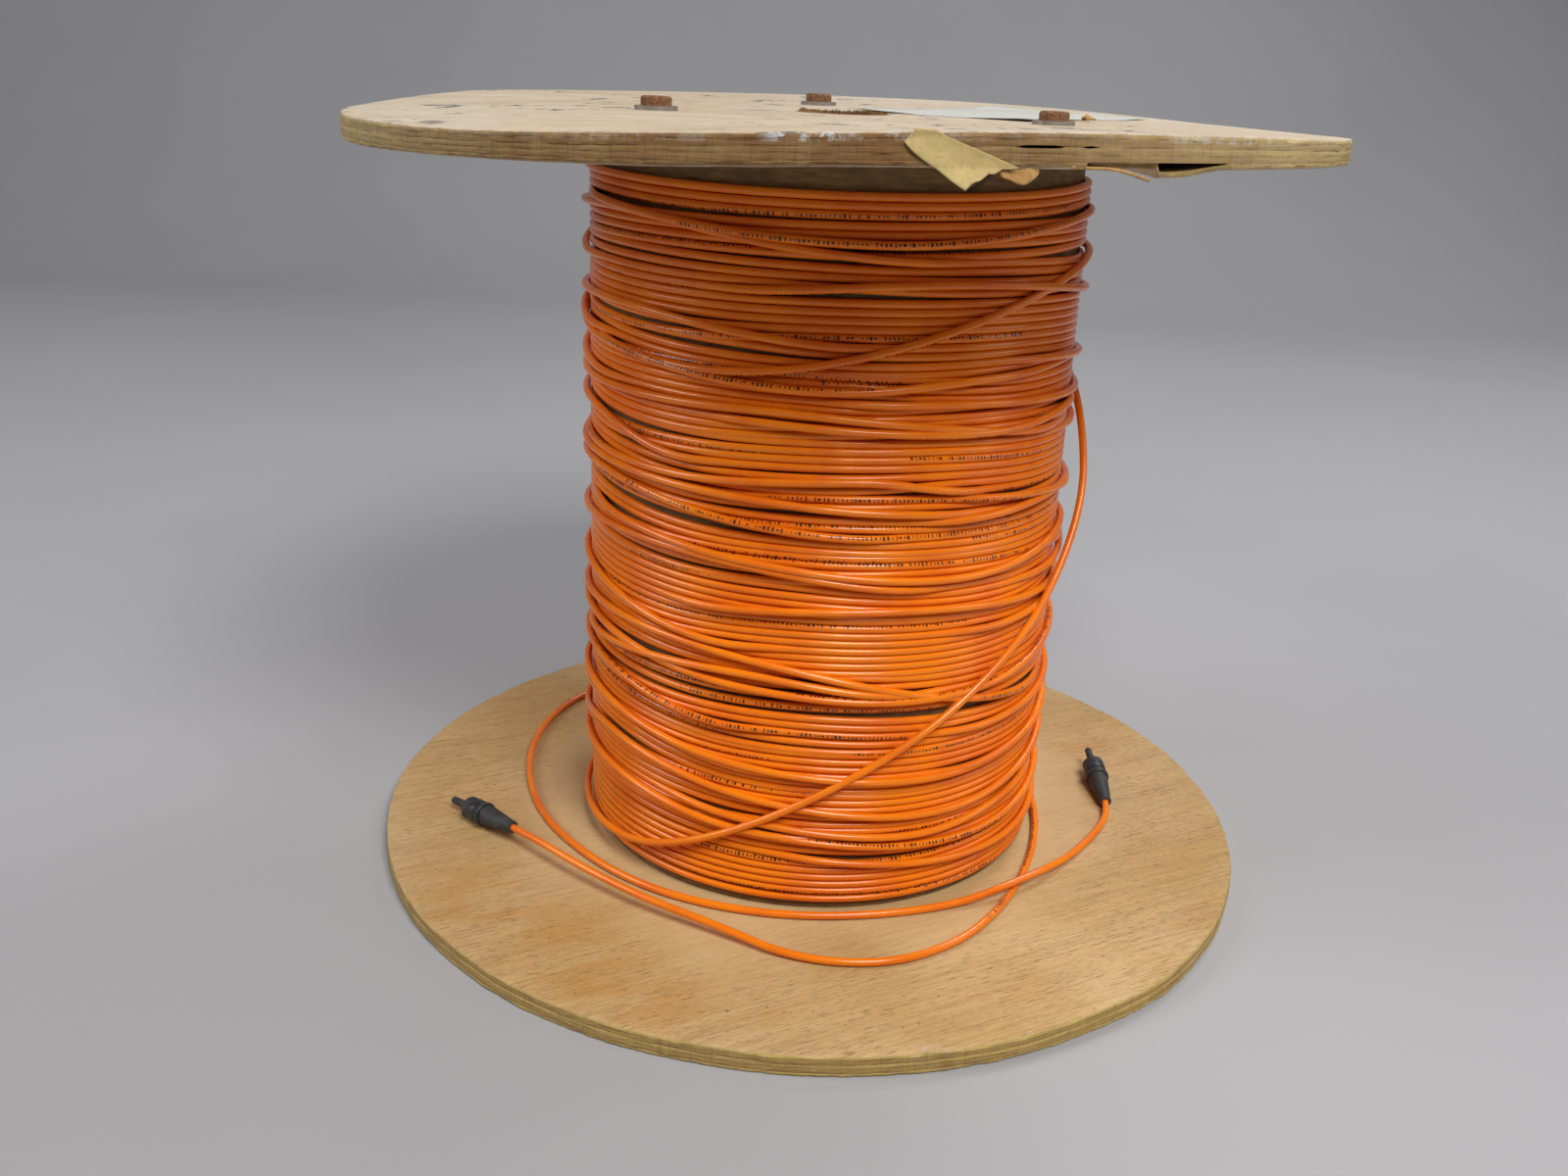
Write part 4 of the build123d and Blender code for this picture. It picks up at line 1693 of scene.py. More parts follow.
    def cutter(self, azimuth: float, radius: float, low: float, high: float) -> Item:
        """Makes a round cutter at a bolt's place.

        Args:
            azimuth: The bolt's azimuth.
            radius: The hole's radius, in millimetres.
            low: The hole's lower end above the underside.
            high: The hole's upper end above the underside.

        Returns:
            The cutter.
        """
        centre = polar(azimuth, self.bolt_reach, self.underside)
        sides = self.hole_sides
        turn = np.arange(sides) * 2.0 * math.pi / sides
        ring = np.stack((np.cos(turn), np.sin(turn), np.zeros(sides)), 1) * radius * MM
        points = np.concatenate([centre + ring + (0.0, 0.0, z * MM) for z in (low, high)])
        faces = grid_faces(2, sides, True)
        faces += [tuple(range(sides - 1, -1, -1)), tuple(range(sides, 2 * sides))]
        mesh = bpy.data.meshes.new("cutter")
        mesh.from_pydata(points.tolist(), [], faces)
        cutter = place_object("cutter", mesh)
        bpy.context.view_layer.update()
        return cutter

    def stains(self, radius: Array) -> Array:
        """Spreads the stains over the disc.

        Args:
            radius: Radius of each point, by row and azimuth.

        Returns:
            How deep the stain is at each point, from 0 to 1.
        """
        soaked = np.zeros_like(radius)
        for azimuth, reach, wide, deep, strength in self.stain_table:
            aside = (self.azimuth[None, :] - azimuth) / wide
            soaked += strength * np.exp(-0.5 * aside**2 - 0.5 * ((radius - reach) / deep) ** 2)
        return np.clip(soaked, 0.0, 1.0)

    def marks(self, stations: list[Station], radius: Array, share: Array) -> dict[str, Array]:
        """Works out the numbers that the finish reads at each point.

        Args:
            stations: The section's points.
            radius: Radius of each point, by row and azimuth.
            share: Each point's share of the thickness.

        Returns:
            The numbers of each mark, by its name.
        """
        soil, scuff = np.array(self.soil_table), np.array(self.scuff_table)
        soiled = np.interp(self.azimuth, soil[:, 0], soil[:, 1])[None, :]
        scuffed = np.interp(self.azimuth, scuff[:, 0], scuff[:, 1])[None, :]
        out, up = self.radius - self.edge_band, self.thickness - self.scuff_band
        by_edge = np.array([1.0 if r > out and z > up else 0.0 for r, z, _ in stations])
        bored = self.bore_radius + self.bore_band
        near_bore = np.array([self.ragged_bore > 0.0 and r < bored for r, _, _ in stations])
        on_rim = np.array([1.0 if part is DiscPart.RIM else 0.0 for _, _, part in stations])
        return {
            "ply": np.clip(share, *self.ply_ends),
            "rim": np.repeat(np.maximum(on_rim, near_bore)[:, None], self.columns, 1),
            "soil": np.maximum(soiled, self.bore_soil * near_bore[:, None]),
            "scuff": by_edge[:, None] * scuffed,
            "amber": self.stains(radius),
        }

    def build(self) -> Item:
        """Makes the disc.

        Returns:
            The disc as a piece that stands for its CAD node.
        """
        stations = self.profile()
        parts = [part for _, _, part in stations]
        radius = np.repeat(np.array([r for r, _, _ in stations])[:, None], self.columns, 1)
        height = np.repeat(np.array([z for _, z, _ in stations])[:, None], self.columns, 1)
        share = height / self.thickness
        radius = self.wear_rim(radius, height, parts)
        radius, height = self.damage(radius, height, parts)
        height = height + self.warp(radius, share)
        points = ring_points(self.azimuth, radius, height + self.underside)
        faces = [face[::-1] for face in grid_faces(len(stations), self.columns, True, True)]
        disc = add_piece(self.name, points, faces, self.finish, self.slot, self.crisp)
        store_marks(disc, self.marks(stations, radius, share))
        self.cut_holes(disc)
        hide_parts(self.node)
        log.info("%s: %d faces", self.name, len(disc.data.polygons))
        return disc


@dataclass
class LowerFlange(Flange):
    """The flange that the reel stands on, with tee-nut seats in its underside."""

    tee_seat: Pair = (9.7, 1.5)
    tee_barrel: Pair = (3.65, 6.6)
    stain_table: tuple[tuple[float, float, float, float, float], ...] = (
        (-146.0, 137.0, 8.0, 12.0, 0.55), (-127.0, 128.0, 11.0, 13.0, 0.85),
        (-110.0, 141.0, 9.0, 9.0, 0.6), (-168.0, 122.0, 9.0, 16.0, 0.35),
        (-95.0, 126.0, 6.0, 8.0, 0.35), (-62.0, 136.0, 12.0, 9.0, 0.3),
        (-20.0, 132.0, 12.0, 12.0, 0.35), (24.0, 126.0, 14.0, 15.0, 0.4),
        (96.0, 118.0, 16.0, 16.0, 0.4), (150.0, 132.0, 12.0, 14.0, 0.45),
    )

    def holes(self) -> list[Triple]:
        """Returns the tee nuts' seats and barrel holes, and the bolt holes."""
        tee = [(radius, -self.overrun, top) for radius, top in (self.tee_seat, self.tee_barrel)]
        return [*tee, *super().holes()]


@dataclass
class UpperFlange(Flange):
    """The worn upper flange: warped, split along a glue line, with a ply torn off."""

    warp_table: tuple[Triple, ...] = (
        (-180.0, -3.3, -3.3), (-165.0, -3.6, -3.9), (-152.0, -3.8, -4.2), (-142.0, -3.8, -3.8),
        (-130.0, -3.4, -3.1), (-121.0, -2.5, -2.4), (-108.0, -0.7, -1.4), (-91.0, 1.3, 0.9),
        (-80.0, 2.6, 1.6), (-71.0, 3.0, 1.8), (-61.0, 2.9, 1.8), (-47.0, 2.3, 1.6),
        (-33.0, 1.2, 1.0), (-15.0, 0.1, 0.1), (0.0, -0.9, -0.9), (15.0, -1.3, -1.3),
        (30.0, -1.1, -1.1), (47.0, 0.2, 0.2), (58.0, 1.1, 1.1), (71.0, 1.6, 1.6),
        (92.0, 1.5, 1.5), (119.0, 0.8, 0.8), (150.0, 0.2, 0.2), (162.0, -1.5, -1.5),
        (172.0, -2.8, -2.8), (180.0, -3.3, -3.3),
    )
    warp_waves: float = 22.0
    warp_limit: float = 1.1
    warp_power: float = 1.25
    flat_radius: float = 80.0
    soil_table: Table = (
        (-180.0, 0.25), (-155.0, 0.10), (-140.0, 0.45), (-122.0, 0.85), (-95.0, 0.95), (-76.0, 0.85),
        (-62.0, 0.45), (-45.0, 0.15), (-10.0, 0.10), (40.0, 0.45), (120.0, 0.5), (180.0, 0.25),
    )
    scuff_table: Table = (
        (-180.0, 0.1), (-134.0, 0.08), (-120.0, 0.1), (-114.0, 0.16), (-98.0, 0.16), (-96.5, 0.9),
        (-92.5, 0.9), (-91.0, 0.35), (-84.0, 0.35), (-80.0, 0.1), (-63.0, 0.1), (-60.0, 0.4),
        (-49.0, 0.35), (-46.0, 0.1), (0.0, 0.1), (90.0, 0.3), (180.0, 0.1),
    )
    chip_size: float = 1.6
    groove: float = 0.07
    ragged_bore: float = 1.1
    splinter_waves: float = 300.0
    splinter_limit: float = 2.5
    splinter_band: float = 1.0
    bore_wear: Pair = (0.5, 120.0)
    bore_edge: float = 0.1
    torn: Pair = (-70.0, -63.0)
    torn_soft: float = 0.35
    torn_depth: float = 4.2
    torn_wear: Pair = (0.9, 90.0)
    split: Pair = (-63.0, -54.5)
    split_soft: float = 0.3
    split_depth: float = 17.0
    split_drop: float = 1.9
    split_arch: Pair = (0.42, 0.58)
    split_power: float = 1.3
    rim_from: float = 105.0
    hinge_radius: float = 128.0
    cracks: Table = ((-76.6, -72.4), (-70.6, -69.2), (31.0, 36.0), (128.0, 131.0))
    crack_soft: float = 0.8
    crack_line: int = 2
    crack_depth: float = 4.0
    crack_gape: float = 0.2

    def rim_warp(self, column: int) -> Array:
        """Returns the rim's warp round the disc, column 1 at the top and 2 at the underside."""
        table = np.array(self.warp_table)
        raw = np.interp(self.azimuth, table[:, 0], table[:, column])
        waves = np.fft.rfft(raw)
        waves *= np.exp(-0.5 * (np.arange(len(waves)) / self.warp_waves) ** 2)
        return np.fft.irfft(waves, self.columns)

    def warp_share(self, radius: Array) -> Array:
        """Returns how much of the rim's warp reaches a radius, none in the clamped middle."""
        out = (radius - self.flat_radius) / (self.radius - self.flat_radius)
        return np.clip(out, 0.0, self.warp_limit) ** self.warp_power

    def warp(self, radius: Array, share: Array) -> Array:
        """Returns the warp of each point.

        Args:
            radius: Radius of each point, by row and azimuth.
            share: Each point's share of the thickness.

        Returns:
            The rise of each point, in millimetres.
        """
        rim = self.rim_warp(1) * share + self.rim_warp(2) * (1.0 - share)
        return self.warp_share(radius) * rim

    def top_at(self, x: Array, y: Array) -> Array:
        """Returns the top face's height at places on it, all in millimetres."""
        azimuth = np.degrees(np.arctan2(y, x))
        rim = np.interp(azimuth, self.azimuth, self.rim_warp(1))
        return self.underside + self.thickness + rim * self.warp_share(np.hypot(x, y))

    def damage(self, radius: Array, height: Array, parts: list[DiscPart]) -> tuple[Array, Array]:
        """Tears off a stretch of the bottom ply, springs the next one open and cracks the rim.

        Args:
            radius: Radius of each point, by row and azimuth.
            height: Height of each point above the underside.
            parts: The part that each row is on.

        Returns:
            The new radii and heights.
        """
        first, open_line = self.glue_lines[0], self.glue_lines[self.crack_line]
        torn = self.window(self.torn, self.torn_soft)
        split = self.window(self.split, self.split_soft)
        cracked = np.max([self.window(span, self.crack_soft) for span in self.cracks], axis=0)
        place = np.clip((self.azimuth - self.split[0]) / (self.split[1] - self.split[0]), 0.0, 1.0)
        start, run = self.split_arch
        arch = np.sin(math.pi * np.clip(start + run * place, 0.0, 1.0)) ** self.split_power
        drop = self.split_drop * split * arch
        tear = torn * (self.torn_depth + self.worn(self.torn_wear))
        splinters = self.wear.round(self.columns, self.splinter_waves)
        splinters = np.clip(splinters, 0.0, self.splinter_limit) / self.splinter_limit
        for row, part in enumerate(parts):
            level = float(np.mean(height[row]))
            out = float(radius[row].mean()) - self.bore_radius
            if part is DiscPart.TOP and out < self.splinter_band:
                height[row] += self.ragged_bore * splinters
                radius[row] += np.abs(self.worn(self.bore_wear)) * (out < self.bore_edge)
            if part is DiscPart.TOP or out < self.rim_from:
                continue
            near_rim = (radius[row] - self.hinge_radius) / (self.radius - self.hinge_radius)
            near_rim = np.clip(near_rim, 0.0, 1.0)
            off_crack = level - open_line
            if part is DiscPart.RIM and abs(off_crack) < self.lip + self.ON_LINE:
                radius[row] -= self.crack_depth * cracked * (abs(off_crack) < self.ON_LINE)
                height[row] += self.crack_gape * cracked * np.sign(round(off_crack, 3))
            if abs(level - first) < self.ON_LINE and part is DiscPart.RIM:
                radius[row] -= self.split_depth * split
            elif level < first:
                height[row] -= drop * near_rim**2
                radius[row] -= tear * near_rim
        return radius, height

    def window(self, span: Pair, soft: float) -> Array:
        """Returns one inside a span of azimuths and nought outside, with soft ends."""
        rise = np.clip((self.azimuth - span[0]) / soft, 0.0, 1.0)
        fall = np.clip((span[1] - self.azimuth) / soft, 0.0, 1.0)
        return rise * fall


@dataclass
class PaperLabel:
    """The blank paper label stuck on the upper flange."""

    finish: Material
    flange: UpperFlange
    size: Pair = (100.0, 64.0)
    azimuth: float = 38.4
    reach: float = 74.0
    turn: float = 57.0
    cells: tuple[int, int] = (50, 32)
    cut_wander: Pair = (0.0025, 0.0035)
    curl_from: float = 0.86
    curl_band: float = 0.14
    curl: Pair = (0.35, 0.45)
    bubble: float = 0.10
    stand_off: float = 0.16
    thickness: float = 0.00012
    seed: int = 5

    def build(self) -> None:
        """Makes the label as a thin sheet that follows the wood, with lifted edges."""
        columns, rows = self.cells[0] + 1, self.cells[1] + 1
        u, v = np.meshgrid(np.linspace(-0.5, 0.5, columns), np.linspace(-0.5, 0.5, rows))
        rng = np.random.default_rng(self.seed)
        border = np.maximum(np.abs(u), np.abs(v)) > 0.499
        u = u + border * rng.normal(0.0, self.cut_wander[0], u.shape)
        v = v + border * rng.normal(0.0, self.cut_wander[1], v.shape)
        angle = math.radians(self.turn)
        centre = polar(self.azimuth, self.reach, 0.0) / MM
        x = centre[0] + u * self.size[0] * math.cos(angle) - v * self.size[1] * math.sin(angle)
        y = centre[1] + u * self.size[0] * math.sin(angle) + v * self.size[1] * math.cos(angle)
        out = 2.0 * np.maximum(np.abs(u), np.abs(v)) - self.curl_from
        near = np.clip(out, 0.0, self.curl_band) / self.curl_band
        mean, swing = self.curl
        curl = near**2 * (mean + swing * (np.sin(5.0 * u + 1.0) * np.cos(6.0 * v)))
        bubble = self.bubble * np.sin(19.0 * u + 3.0 * v) * np.sin(15.0 * v - 4.0 * u)
        z = self.flange.top_at(x, y) + self.stand_off
        z = z + np.clip(bubble, 0.0, None) + np.clip(curl, 0.0, None)
        points = np.stack((x, y, z), 2).reshape(-1, 3) * MM
        faces = grid_faces(rows, columns, False)
        label = add_piece("blank_label", points, faces, self.finish, Slot.LABEL_PAPER)
        thicken(label, self.thickness, -1.0)
        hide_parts("paper_label")
        log.info("label: %d cells", self.cells[0] * self.cells[1])


@dataclass
class MaskingTape:
    """The torn strip of masking tape that folds over the upper rim and hangs down."""

    finish: Material
    flange: UpperFlange
    left: Table = (
        (-86.3, -2.4), (-86.0, -3.3), (-85.5, -4.6), (-84.7, -6.2),
        (-83.4, -8.4), (-82.3, -10.6), (-81.1, -12.5),
    )
    right: Table = (
        (-84.9, 1.8), (-84.2, 0.7), (-82.9, -1.2), (-80.4, -3.8),
        (-78.5, -5.8), (-77.2, -7.2), (-75.8, -8.4),
    )
    columns: int = 26
    rows: int = 34
    stand_off: float = 0.3
    lift: float = 0.2
    notch: float = 1.5
    tear: float = 0.35
    tear_points: int = 14
    crease: float = 0.22
    wrinkle: float = 0.13
    fold_reach: float = 1.2
    fold_out: float = 0.35
    fold_up: float = 0.25
    flare: Pair = (0.22, 0.05)
    thickness: float = 0.00014
    seed: int = 11

    def edge(self, points: Table, steps: Array) -> tuple[Array, Array]:
        """Reads an edge at even steps.

        Args:
            points: Azimuth, and run past the rim's top edge with minus as down.
            steps: Shares of the way along.

        Returns:
            The azimuths and the runs.
        """
        table = np.array(points)
        marks = np.linspace(0.0, 1.0, len(table))
        return np.interp(steps, marks, table[:, 0]), np.interp(steps, marks, table[:, 1])

    def build(self) -> None:
        """Makes the tape as a crumpled sheet with a torn lower edge."""
        rng = np.random.default_rng(self.seed)
        down = np.linspace(0.0, 1.0, self.rows)
        left_azimuth, left_run = self.edge(self.left, down)
        right_azimuth, right_run = self.edge(self.right, down)
        across = np.linspace(0.0, 1.0, self.columns)[None, :]
        azimuth = left_azimuth[:, None] * (1.0 - across) + right_azimuth[:, None] * across
        run = left_run[:, None] * (1.0 - across) + right_run[:, None] * across
        ragged = rng.uniform(-self.tear, self.tear, self.tear_points)
        torn = np.interp(across[0], np.linspace(0, 1, self.tear_points), ragged)
        torn = torn + self.notch * np.sin(math.pi * across[0]) ** 0.8
        run = run + torn[None, :] * np.clip(down[:, None] * 5.0 - 4.0, 0.0, 1.0)
        crumple = self.crease * np.sin(0.9 * azimuth + 0.7 * run)
        crumple = crumple + self.wrinkle * np.sin(2.3 * azimuth - 0.5 * run + 1.0)
        edge_top = np.interp(azimuth, self.flange.azimuth, self.flange.rim_warp(1))
        edge_low = np.interp(azimuth, self.flange.azimuth, self.flange.rim_warp(2)) - self.flange.thickness
        on_top = np.clip(run, 0.0, None)
        bend = np.clip(1.0 - np.abs(run) / self.fold_reach, 0.0, 1.0)
        radius = self.flange.radius + self.stand_off + self.fold_out * bend - on_top
        below = np.clip(edge_low - edge_top - run, 0.0, None)
        radius = radius + self.flare[0] * below + self.flare[1] * below**2
        radius = radius + np.clip(crumple, -0.1, 1.0) * (run < 0.0)
        top = self.flange.underside + self.flange.thickness
        height = top + edge_top + np.minimum(run, 0.0) + self.lift + self.fold_up * bend
        height = height + np.where(run > 0.0, np.abs(crumple) * 0.7, 0.0)
        points = ring_points(azimuth, radius, height)
        faces = [f[::-1] for f in grid_faces(self.rows, self.columns, False)]
        tape = add_piece("torn_tape", points, faces, self.finish, Slot.TAPE_PAPER)
        thicken(tape, self.thickness, 0.0)
        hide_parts("masking_tape")
        log.info("tape: %d by %d cells", self.columns, self.rows)


@dataclass
class LooseVeneer:
    """Splinters of the upper flange's plies: a hanging strip, a flake and a loose chip."""

    finish: Material
    flange: UpperFlange
    crisp: float = 40.0
    ply: float = 0.1
    strip: Pair = (-71.5, -63.3)
    strip_cells: tuple[int, int] = (34, 7)
    strip_width: float = 3.2
    strip_inset: float = 3.4
    strip_thickness: float = 0.7
    strip_rise: float = 0.55
    strip_droop: float = 2.6
    flake: Pair = (-78.2, -74.4)
    flake_cells: tuple[int, int] = (10, 18)
    flake_thickness: float = 0.5
    flake_drop: float = 3.0
    flake_overlap: float = 0.9
    flake_inset: float = 0.9
    chip_azimuth: float = 7.5
    chip_span: float = 4.4
    chip_reach: float = 80.0
    chip_width: float = 2.6
    chip_stand_off: float = 0.55
    chip_rise: float = 1.5

    def sheet(self, name: str, azimuth: Array, radius: Array, height: Array, thick: float) -> None:
        """Makes one splinter from a grid of points.

        Args:
            name: The piece's name.
            azimuth: The points' azimuths.
            radius: The points' radii, in millimetres.
            height: The points' heights, in millimetres.
            thick: The splinter's thickness, in millimetres.
        """
        rows, columns = azimuth.shape
        points = ring_points(azimuth, radius, height)
        faces = grid_faces(rows, columns, False)
        splinter = add_piece(name, points, faces, self.finish, Slot.UPPER_PLYWOOD, self.crisp)
        levels = {"ply": self.ply, "rim": 0.0, "soil": 0.0, "scuff": 0.0}
        store_marks(splinter, {mark: np.full(rows * columns, level) for mark, level in levels.items()})
        thicken(splinter, thick * MM, 0.0)

    def hang_strip(self) -> None:
        """Makes the strip that hangs from the torn place."""
        rows, columns = self.strip_cells
        along = np.linspace(0.0, 1.0, rows)[:, None]
        across = np.linspace(0.0, 1.0, columns)[None, :]
        under = np.interp(np.linspace(*self.strip, rows), self.flange.azimuth, self.flange.rim_warp(2))
        azimuth = (self.strip[0] + (self.strip[1] - self.strip[0]) * along) * np.ones_like(across)
        ragged = 0.25 * np.sin(31.0 * along) + 0.18 * np.sin(57.0 * along + 1.0)
        width = self.strip_width * (1.0 - 0.55 * along**3)
        radius = self.flange.radius - self.strip_inset + width * across
        radius = radius + ragged * (across > 0.5) + 0.8 * along**2
        droop = self.strip_droop * along**2.6 + 0.12 * np.sin(9.0 * along)
        low = self.flange.underside + under[:, None]
        height = low + self.strip_rise - droop - 0.25 * across * along
        self.sheet("peeled_strip", azimuth, radius, height, self.strip_thickness)

    def shares(self) -> tuple[Array, Array]:
        """Returns even shares of the way down and along a flake or chip."""
        rows, columns = self.flake_cells
        return np.linspace(0.0, 1.0, rows)[:, None], np.linspace(0.0, 1.0, columns)[None, :]

    def hang_flake(self) -> None:
        """Makes the flake that hangs beside the tape."""
        down, side = self.shares()
        shape = 1.0 - 0.35 * (2.0 * side - 1.0) ** 4 - 0.12 * np.sin(8.0 * side)
        share = side * (1.0 - 0.12 * down) + 0.10 * down
        azimuth = self.flake[0] + (self.flake[1] - self.flake[0]) * share
        base = self.flange.underside + np.interp(azimuth, self.flange.azimuth, self.flange.rim_warp(2))
        height = base + self.flake_overlap - (self.flake_drop + self.flake_overlap) * down * shape
        radius = self.flange.radius - self.flake_inset + 0.5 * down + 0.1 * np.sin(12.0 * side)
        self.sheet("veneer_flake", azimuth, radius, height, self.flake_thickness)

    def lay_chip(self) -> None:
        """Makes the chip that lies on the upper face."""
        down, side = self.shares()
        azimuth = self.chip_azimuth + self.chip_span * (side - 0.5) + 1.2 * down * (side - 0.4)
        wave = 0.5 * np.sin(9.0 * side + 2.0 * down)
        radius = self.chip_reach + self.chip_width * (down - 0.5) + wave
        ridge = np.clip(1.0 - np.abs(side - 0.38) / 0.62, 0.0, 1.0) * np.sin(math.pi * (0.15 + 0.7 * down))
        top = self.flange.underside + self.flange.thickness
        height = top + self.chip_stand_off + self.chip_rise * ridge
        self.sheet("wood_chip", azimuth, radius, height, self.flake_thickness)

    def build(self) -> None:
        """Makes the hanging strip, the flake and the chip."""
        self.hang_strip()
        self.hang_flake()
        self.lay_chip()
        log.info("loose veneer: strip, flake and chip")


@dataclass
class Hardware:
    """The core tube, tie bolts, washers and tee nuts, which keep their CAD shapes."""

    board: Material
    rusted: Material
    zinc: Material
    edge: float = 0.00022
    edge_segments: int = 2
    edge_angle: float = 40.0

    def dress(self, node: str, finish: Material, eased: bool) -> None:
        """Gives a CAD node its finish, and eases its edges where they are cut metal.

        Args:
            node: The node's name.
            finish: The material.
            eased: Whether the edges are eased.
        """
        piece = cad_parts[node]
        piece.data.materials.clear()
        piece.data.materials.append(finish)
        if eased:
            bevel = piece.modifiers.new("eased_edges", "BEVEL")
            bevel.width = self.edge
            bevel.segments = self.edge_segments
            bevel.limit_method = "ANGLE"
            bevel.angle_limit = math.radians(self.edge_angle)

    def build(self) -> None:
        """Dresses all the pieces."""
        self.dress("core_tube", self.board, False)
        for number in (1, 2, 3):
            self.dress(f"tie_bolt_{number}", self.rusted, True)
            self.dress(f"washer_{number}", self.zinc, True)
            self.dress(f"tee_nut_{number}", self.zinc, True)
        log.info("hardware: core, bolts, washers and tee nuts")


OUTER_ROUTE = [
    (128.0, 81.9, 231.0), (113.0, 82.6, 227.5), (88.0, 83.6, 217.5), (60.0, 84.1, 203.0),
    (32.0, 84.0, 186.5), (8.0, 83.2, 169.5), (-4.0, 86.0, 152.0), (-13.5, 88.0, 131.0),
    (-26.0, 84.0, 106.0), (-44.0, 83.3, 90.0), (-66.0, 83.7, 70.0), (-90.0, 83.8, 49.3),
    (-113.0, 83.8, 30.2), (-135.0, 83.6, 16.6), (-160.0, 83.9, 13.4), (-188.0, 84.2, 13.4),
    (-217.0, 84.2, 13.9), (-246.0, 84.2, 14.3), (-275.0, 84.2, 14.5), (-303.0, 84.1, 14.0),
    (-328.0, 83.9, 12.4), (-349.0, 84.3, 10.0), (-367.0, 84.0, 8.5), (-384.0, 86.3, 8.4),
    (-399.0, 91.5, 8.4), (-413.0, 99.4, 8.4), (-425.0, 107.2, 8.4), (-438.0, 112.0, 8.4),
    (-452.6, 108.6, 8.6), (-466.5, 100.6, 11.2), (-481.6, 100.0, 12.7), (-498.0, 102.0, 13.5),
]

INNER_ROUTE = [
    (-322.0, 81.9, 10.3), (-309.0, 83.2, 10.1), (-290.0, 87.2, 9.6), (-270.0, 97.0, 8.8),
    (-252.0, 110.5, 8.4), (-236.5, 122.0, 8.4), (-222.0, 124.6, 8.4), (-208.5, 119.8, 8.4),
    (-195.0, 112.3, 8.4), (-181.0, 105.0, 8.4), (-165.0, 98.9, 8.4), (-148.0, 93.1, 8.4),
    (-130.0, 90.0, 8.4), (-112.0, 87.2, 8.4), (-93.0, 85.4, 8.4), (-74.0, 85.4, 8.4),
    (-57.0, 88.4, 8.4), (-46.5, 92.2, 10.95), (-35.0, 96.0, 10.95), (-24.0, 99.3, 8.4),
    (-13.0, 105.3, 8.4),
]


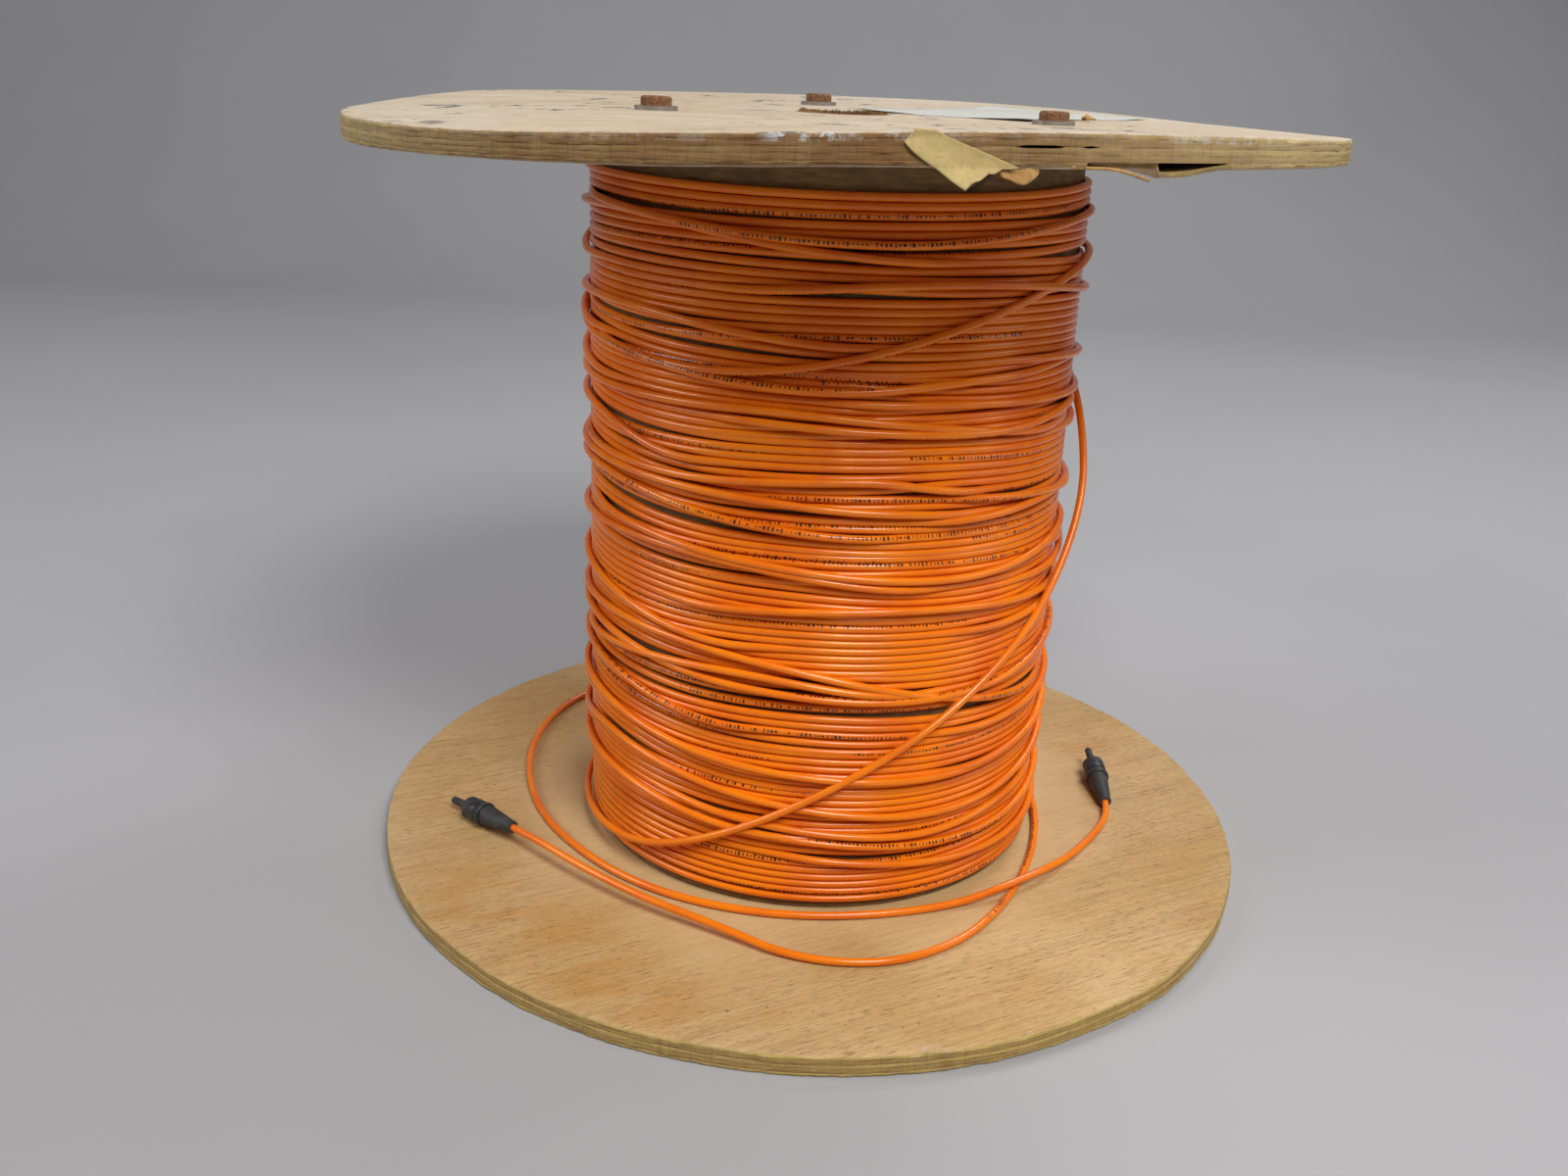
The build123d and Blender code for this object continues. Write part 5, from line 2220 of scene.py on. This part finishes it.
def main() -> None:
    """Builds the studio, the cable and the reel in order."""
    logging.basicConfig(level=logging.INFO, format="%(name)s: %(message)s")
    Studio().build()
    jacket = JacketFinish().material()
    rubber = MouldedFinish(
        "connector_rubber",
        body=(0.030, 0.031, 0.034),
        dusty=(0.085, 0.083, 0.08),
        roughness=0.62,
        relief=0.00006,
    ).material()
    plastic = MouldedFinish(
        "connector_plastic",
        body=(0.022, 0.023, 0.026),
        dusty=(0.065, 0.066, 0.068),
        roughness=0.40,
        relief=0.00003,
    ).material()
    left = Connector(
        "left", boot_azimuth=-156.0, boot_reach=111.3, boot_height=13.314, heading=137.7, tilt=-5.0,
        lead=11.0, rubber=rubber, plastic=plastic,
    )
    right = Connector(
        "right", boot_azimuth=-1.0, boot_reach=110.4, boot_height=9.45, heading=91.2, tilt=7.5,
        lead=6.0, rubber=rubber, plastic=plastic,
    )
    left.build()
    right.build()
    CableTail("outer_loose_end", "outer_tail", OUTER_ROUTE, 1.04, left, jacket, print_turn=0.05).build()
    CableTail("inner_loose_end", "inner_tail", INNER_ROUTE, 0.56, right, jacket, print_turn=-0.1).build()
    Winding(jacket).build()
    lower_wood = PlywoodFinish(
        "lower_plywood",
        pale=(0.62, 0.435, 0.215),
        warm=(0.52, 0.335, 0.13),
        brown=(0.40, 0.25, 0.10),
        rim_long=(0.57, 0.41, 0.125),
        rim_end=(0.43, 0.28, 0.08),
        grain_turn=-27.0,
        cloud_share=0.35,
        stain_share=0.3,
        # painted light: a paler ring on the face round the core
        painted_light_share=0.6,
        roughness=0.52,
    ).material()
    upper_wood = PlywoodFinish(
        "upper_plywood",
        pale=(0.66, 0.57, 0.45),
        warm=(0.60, 0.48, 0.34),
        brown=(0.44, 0.33, 0.21),
        rim_long=(0.57, 0.435, 0.175),
        rim_end=(0.46, 0.325, 0.12),
        grain_turn=8.0,
        cloud_share=0.45,
        stain_share=0.16,
        grime_share=0.85,
        line_share=0.5,
        roughness=0.72,
    ).material()
    LowerFlange(
        "lower_disc", "lower_flange", Slot.LOWER_PLYWOOD, lower_wood, underside=0.0, seed=17
    ).build()
    upper = UpperFlange(
        "upper_disc", "upper_flange", Slot.UPPER_PLYWOOD, upper_wood, underside=242.0, seed=29
    )
    upper.build()
    label_paper = PaperFinish("label_paper", paper=(0.56, 0.565, 0.525), soiled=(0.46, 0.45, 0.39))
    PaperLabel(label_paper.material(), upper).build()
    tape_paper = PaperFinish(
        "tape_paper", paper=(0.56, 0.43, 0.185), soiled=(0.46, 0.33, 0.125), crepe=0.7, crepe_turn=-11.0
    )
    MaskingTape(tape_paper.material(), upper).build()
    torn_wood = PlywoodFinish(
        "torn_plywood",
        pale=(0.60, 0.40, 0.15),
        warm=(0.52, 0.27, 0.075),
        brown=(0.40, 0.22, 0.075),
        rim_long=(0.52, 0.36, 0.15),
        rim_end=(0.42, 0.26, 0.10),
        cloud_share=0.3,
    ).material()
    LooseVeneer(torn_wood, upper).build()
    rusted = SteelFinish(
        "rusted_steel",
        bright=(0.30, 0.20, 0.13),
        rust=(0.26, 0.11, 0.045),
        dark=(0.10, 0.045, 0.022),
        rust_low=0.30,
        rust_high=0.52,
        metal_bare=0.7,
        metal_rusted=0.1,
    )
    zinc = SteelFinish(
        "washer_steel",
        bright=(0.36, 0.34, 0.31),
        rust=(0.22, 0.13, 0.07),
        dark=(0.12, 0.075, 0.045),
        rust_low=0.50,
        rust_high=0.72,
        metal_bare=0.8,
        metal_rusted=0.15,
    )
    Hardware(BoardFinish().material(), rusted.material(), zinc.material()).build()


if __name__ == "__main__":
    main()
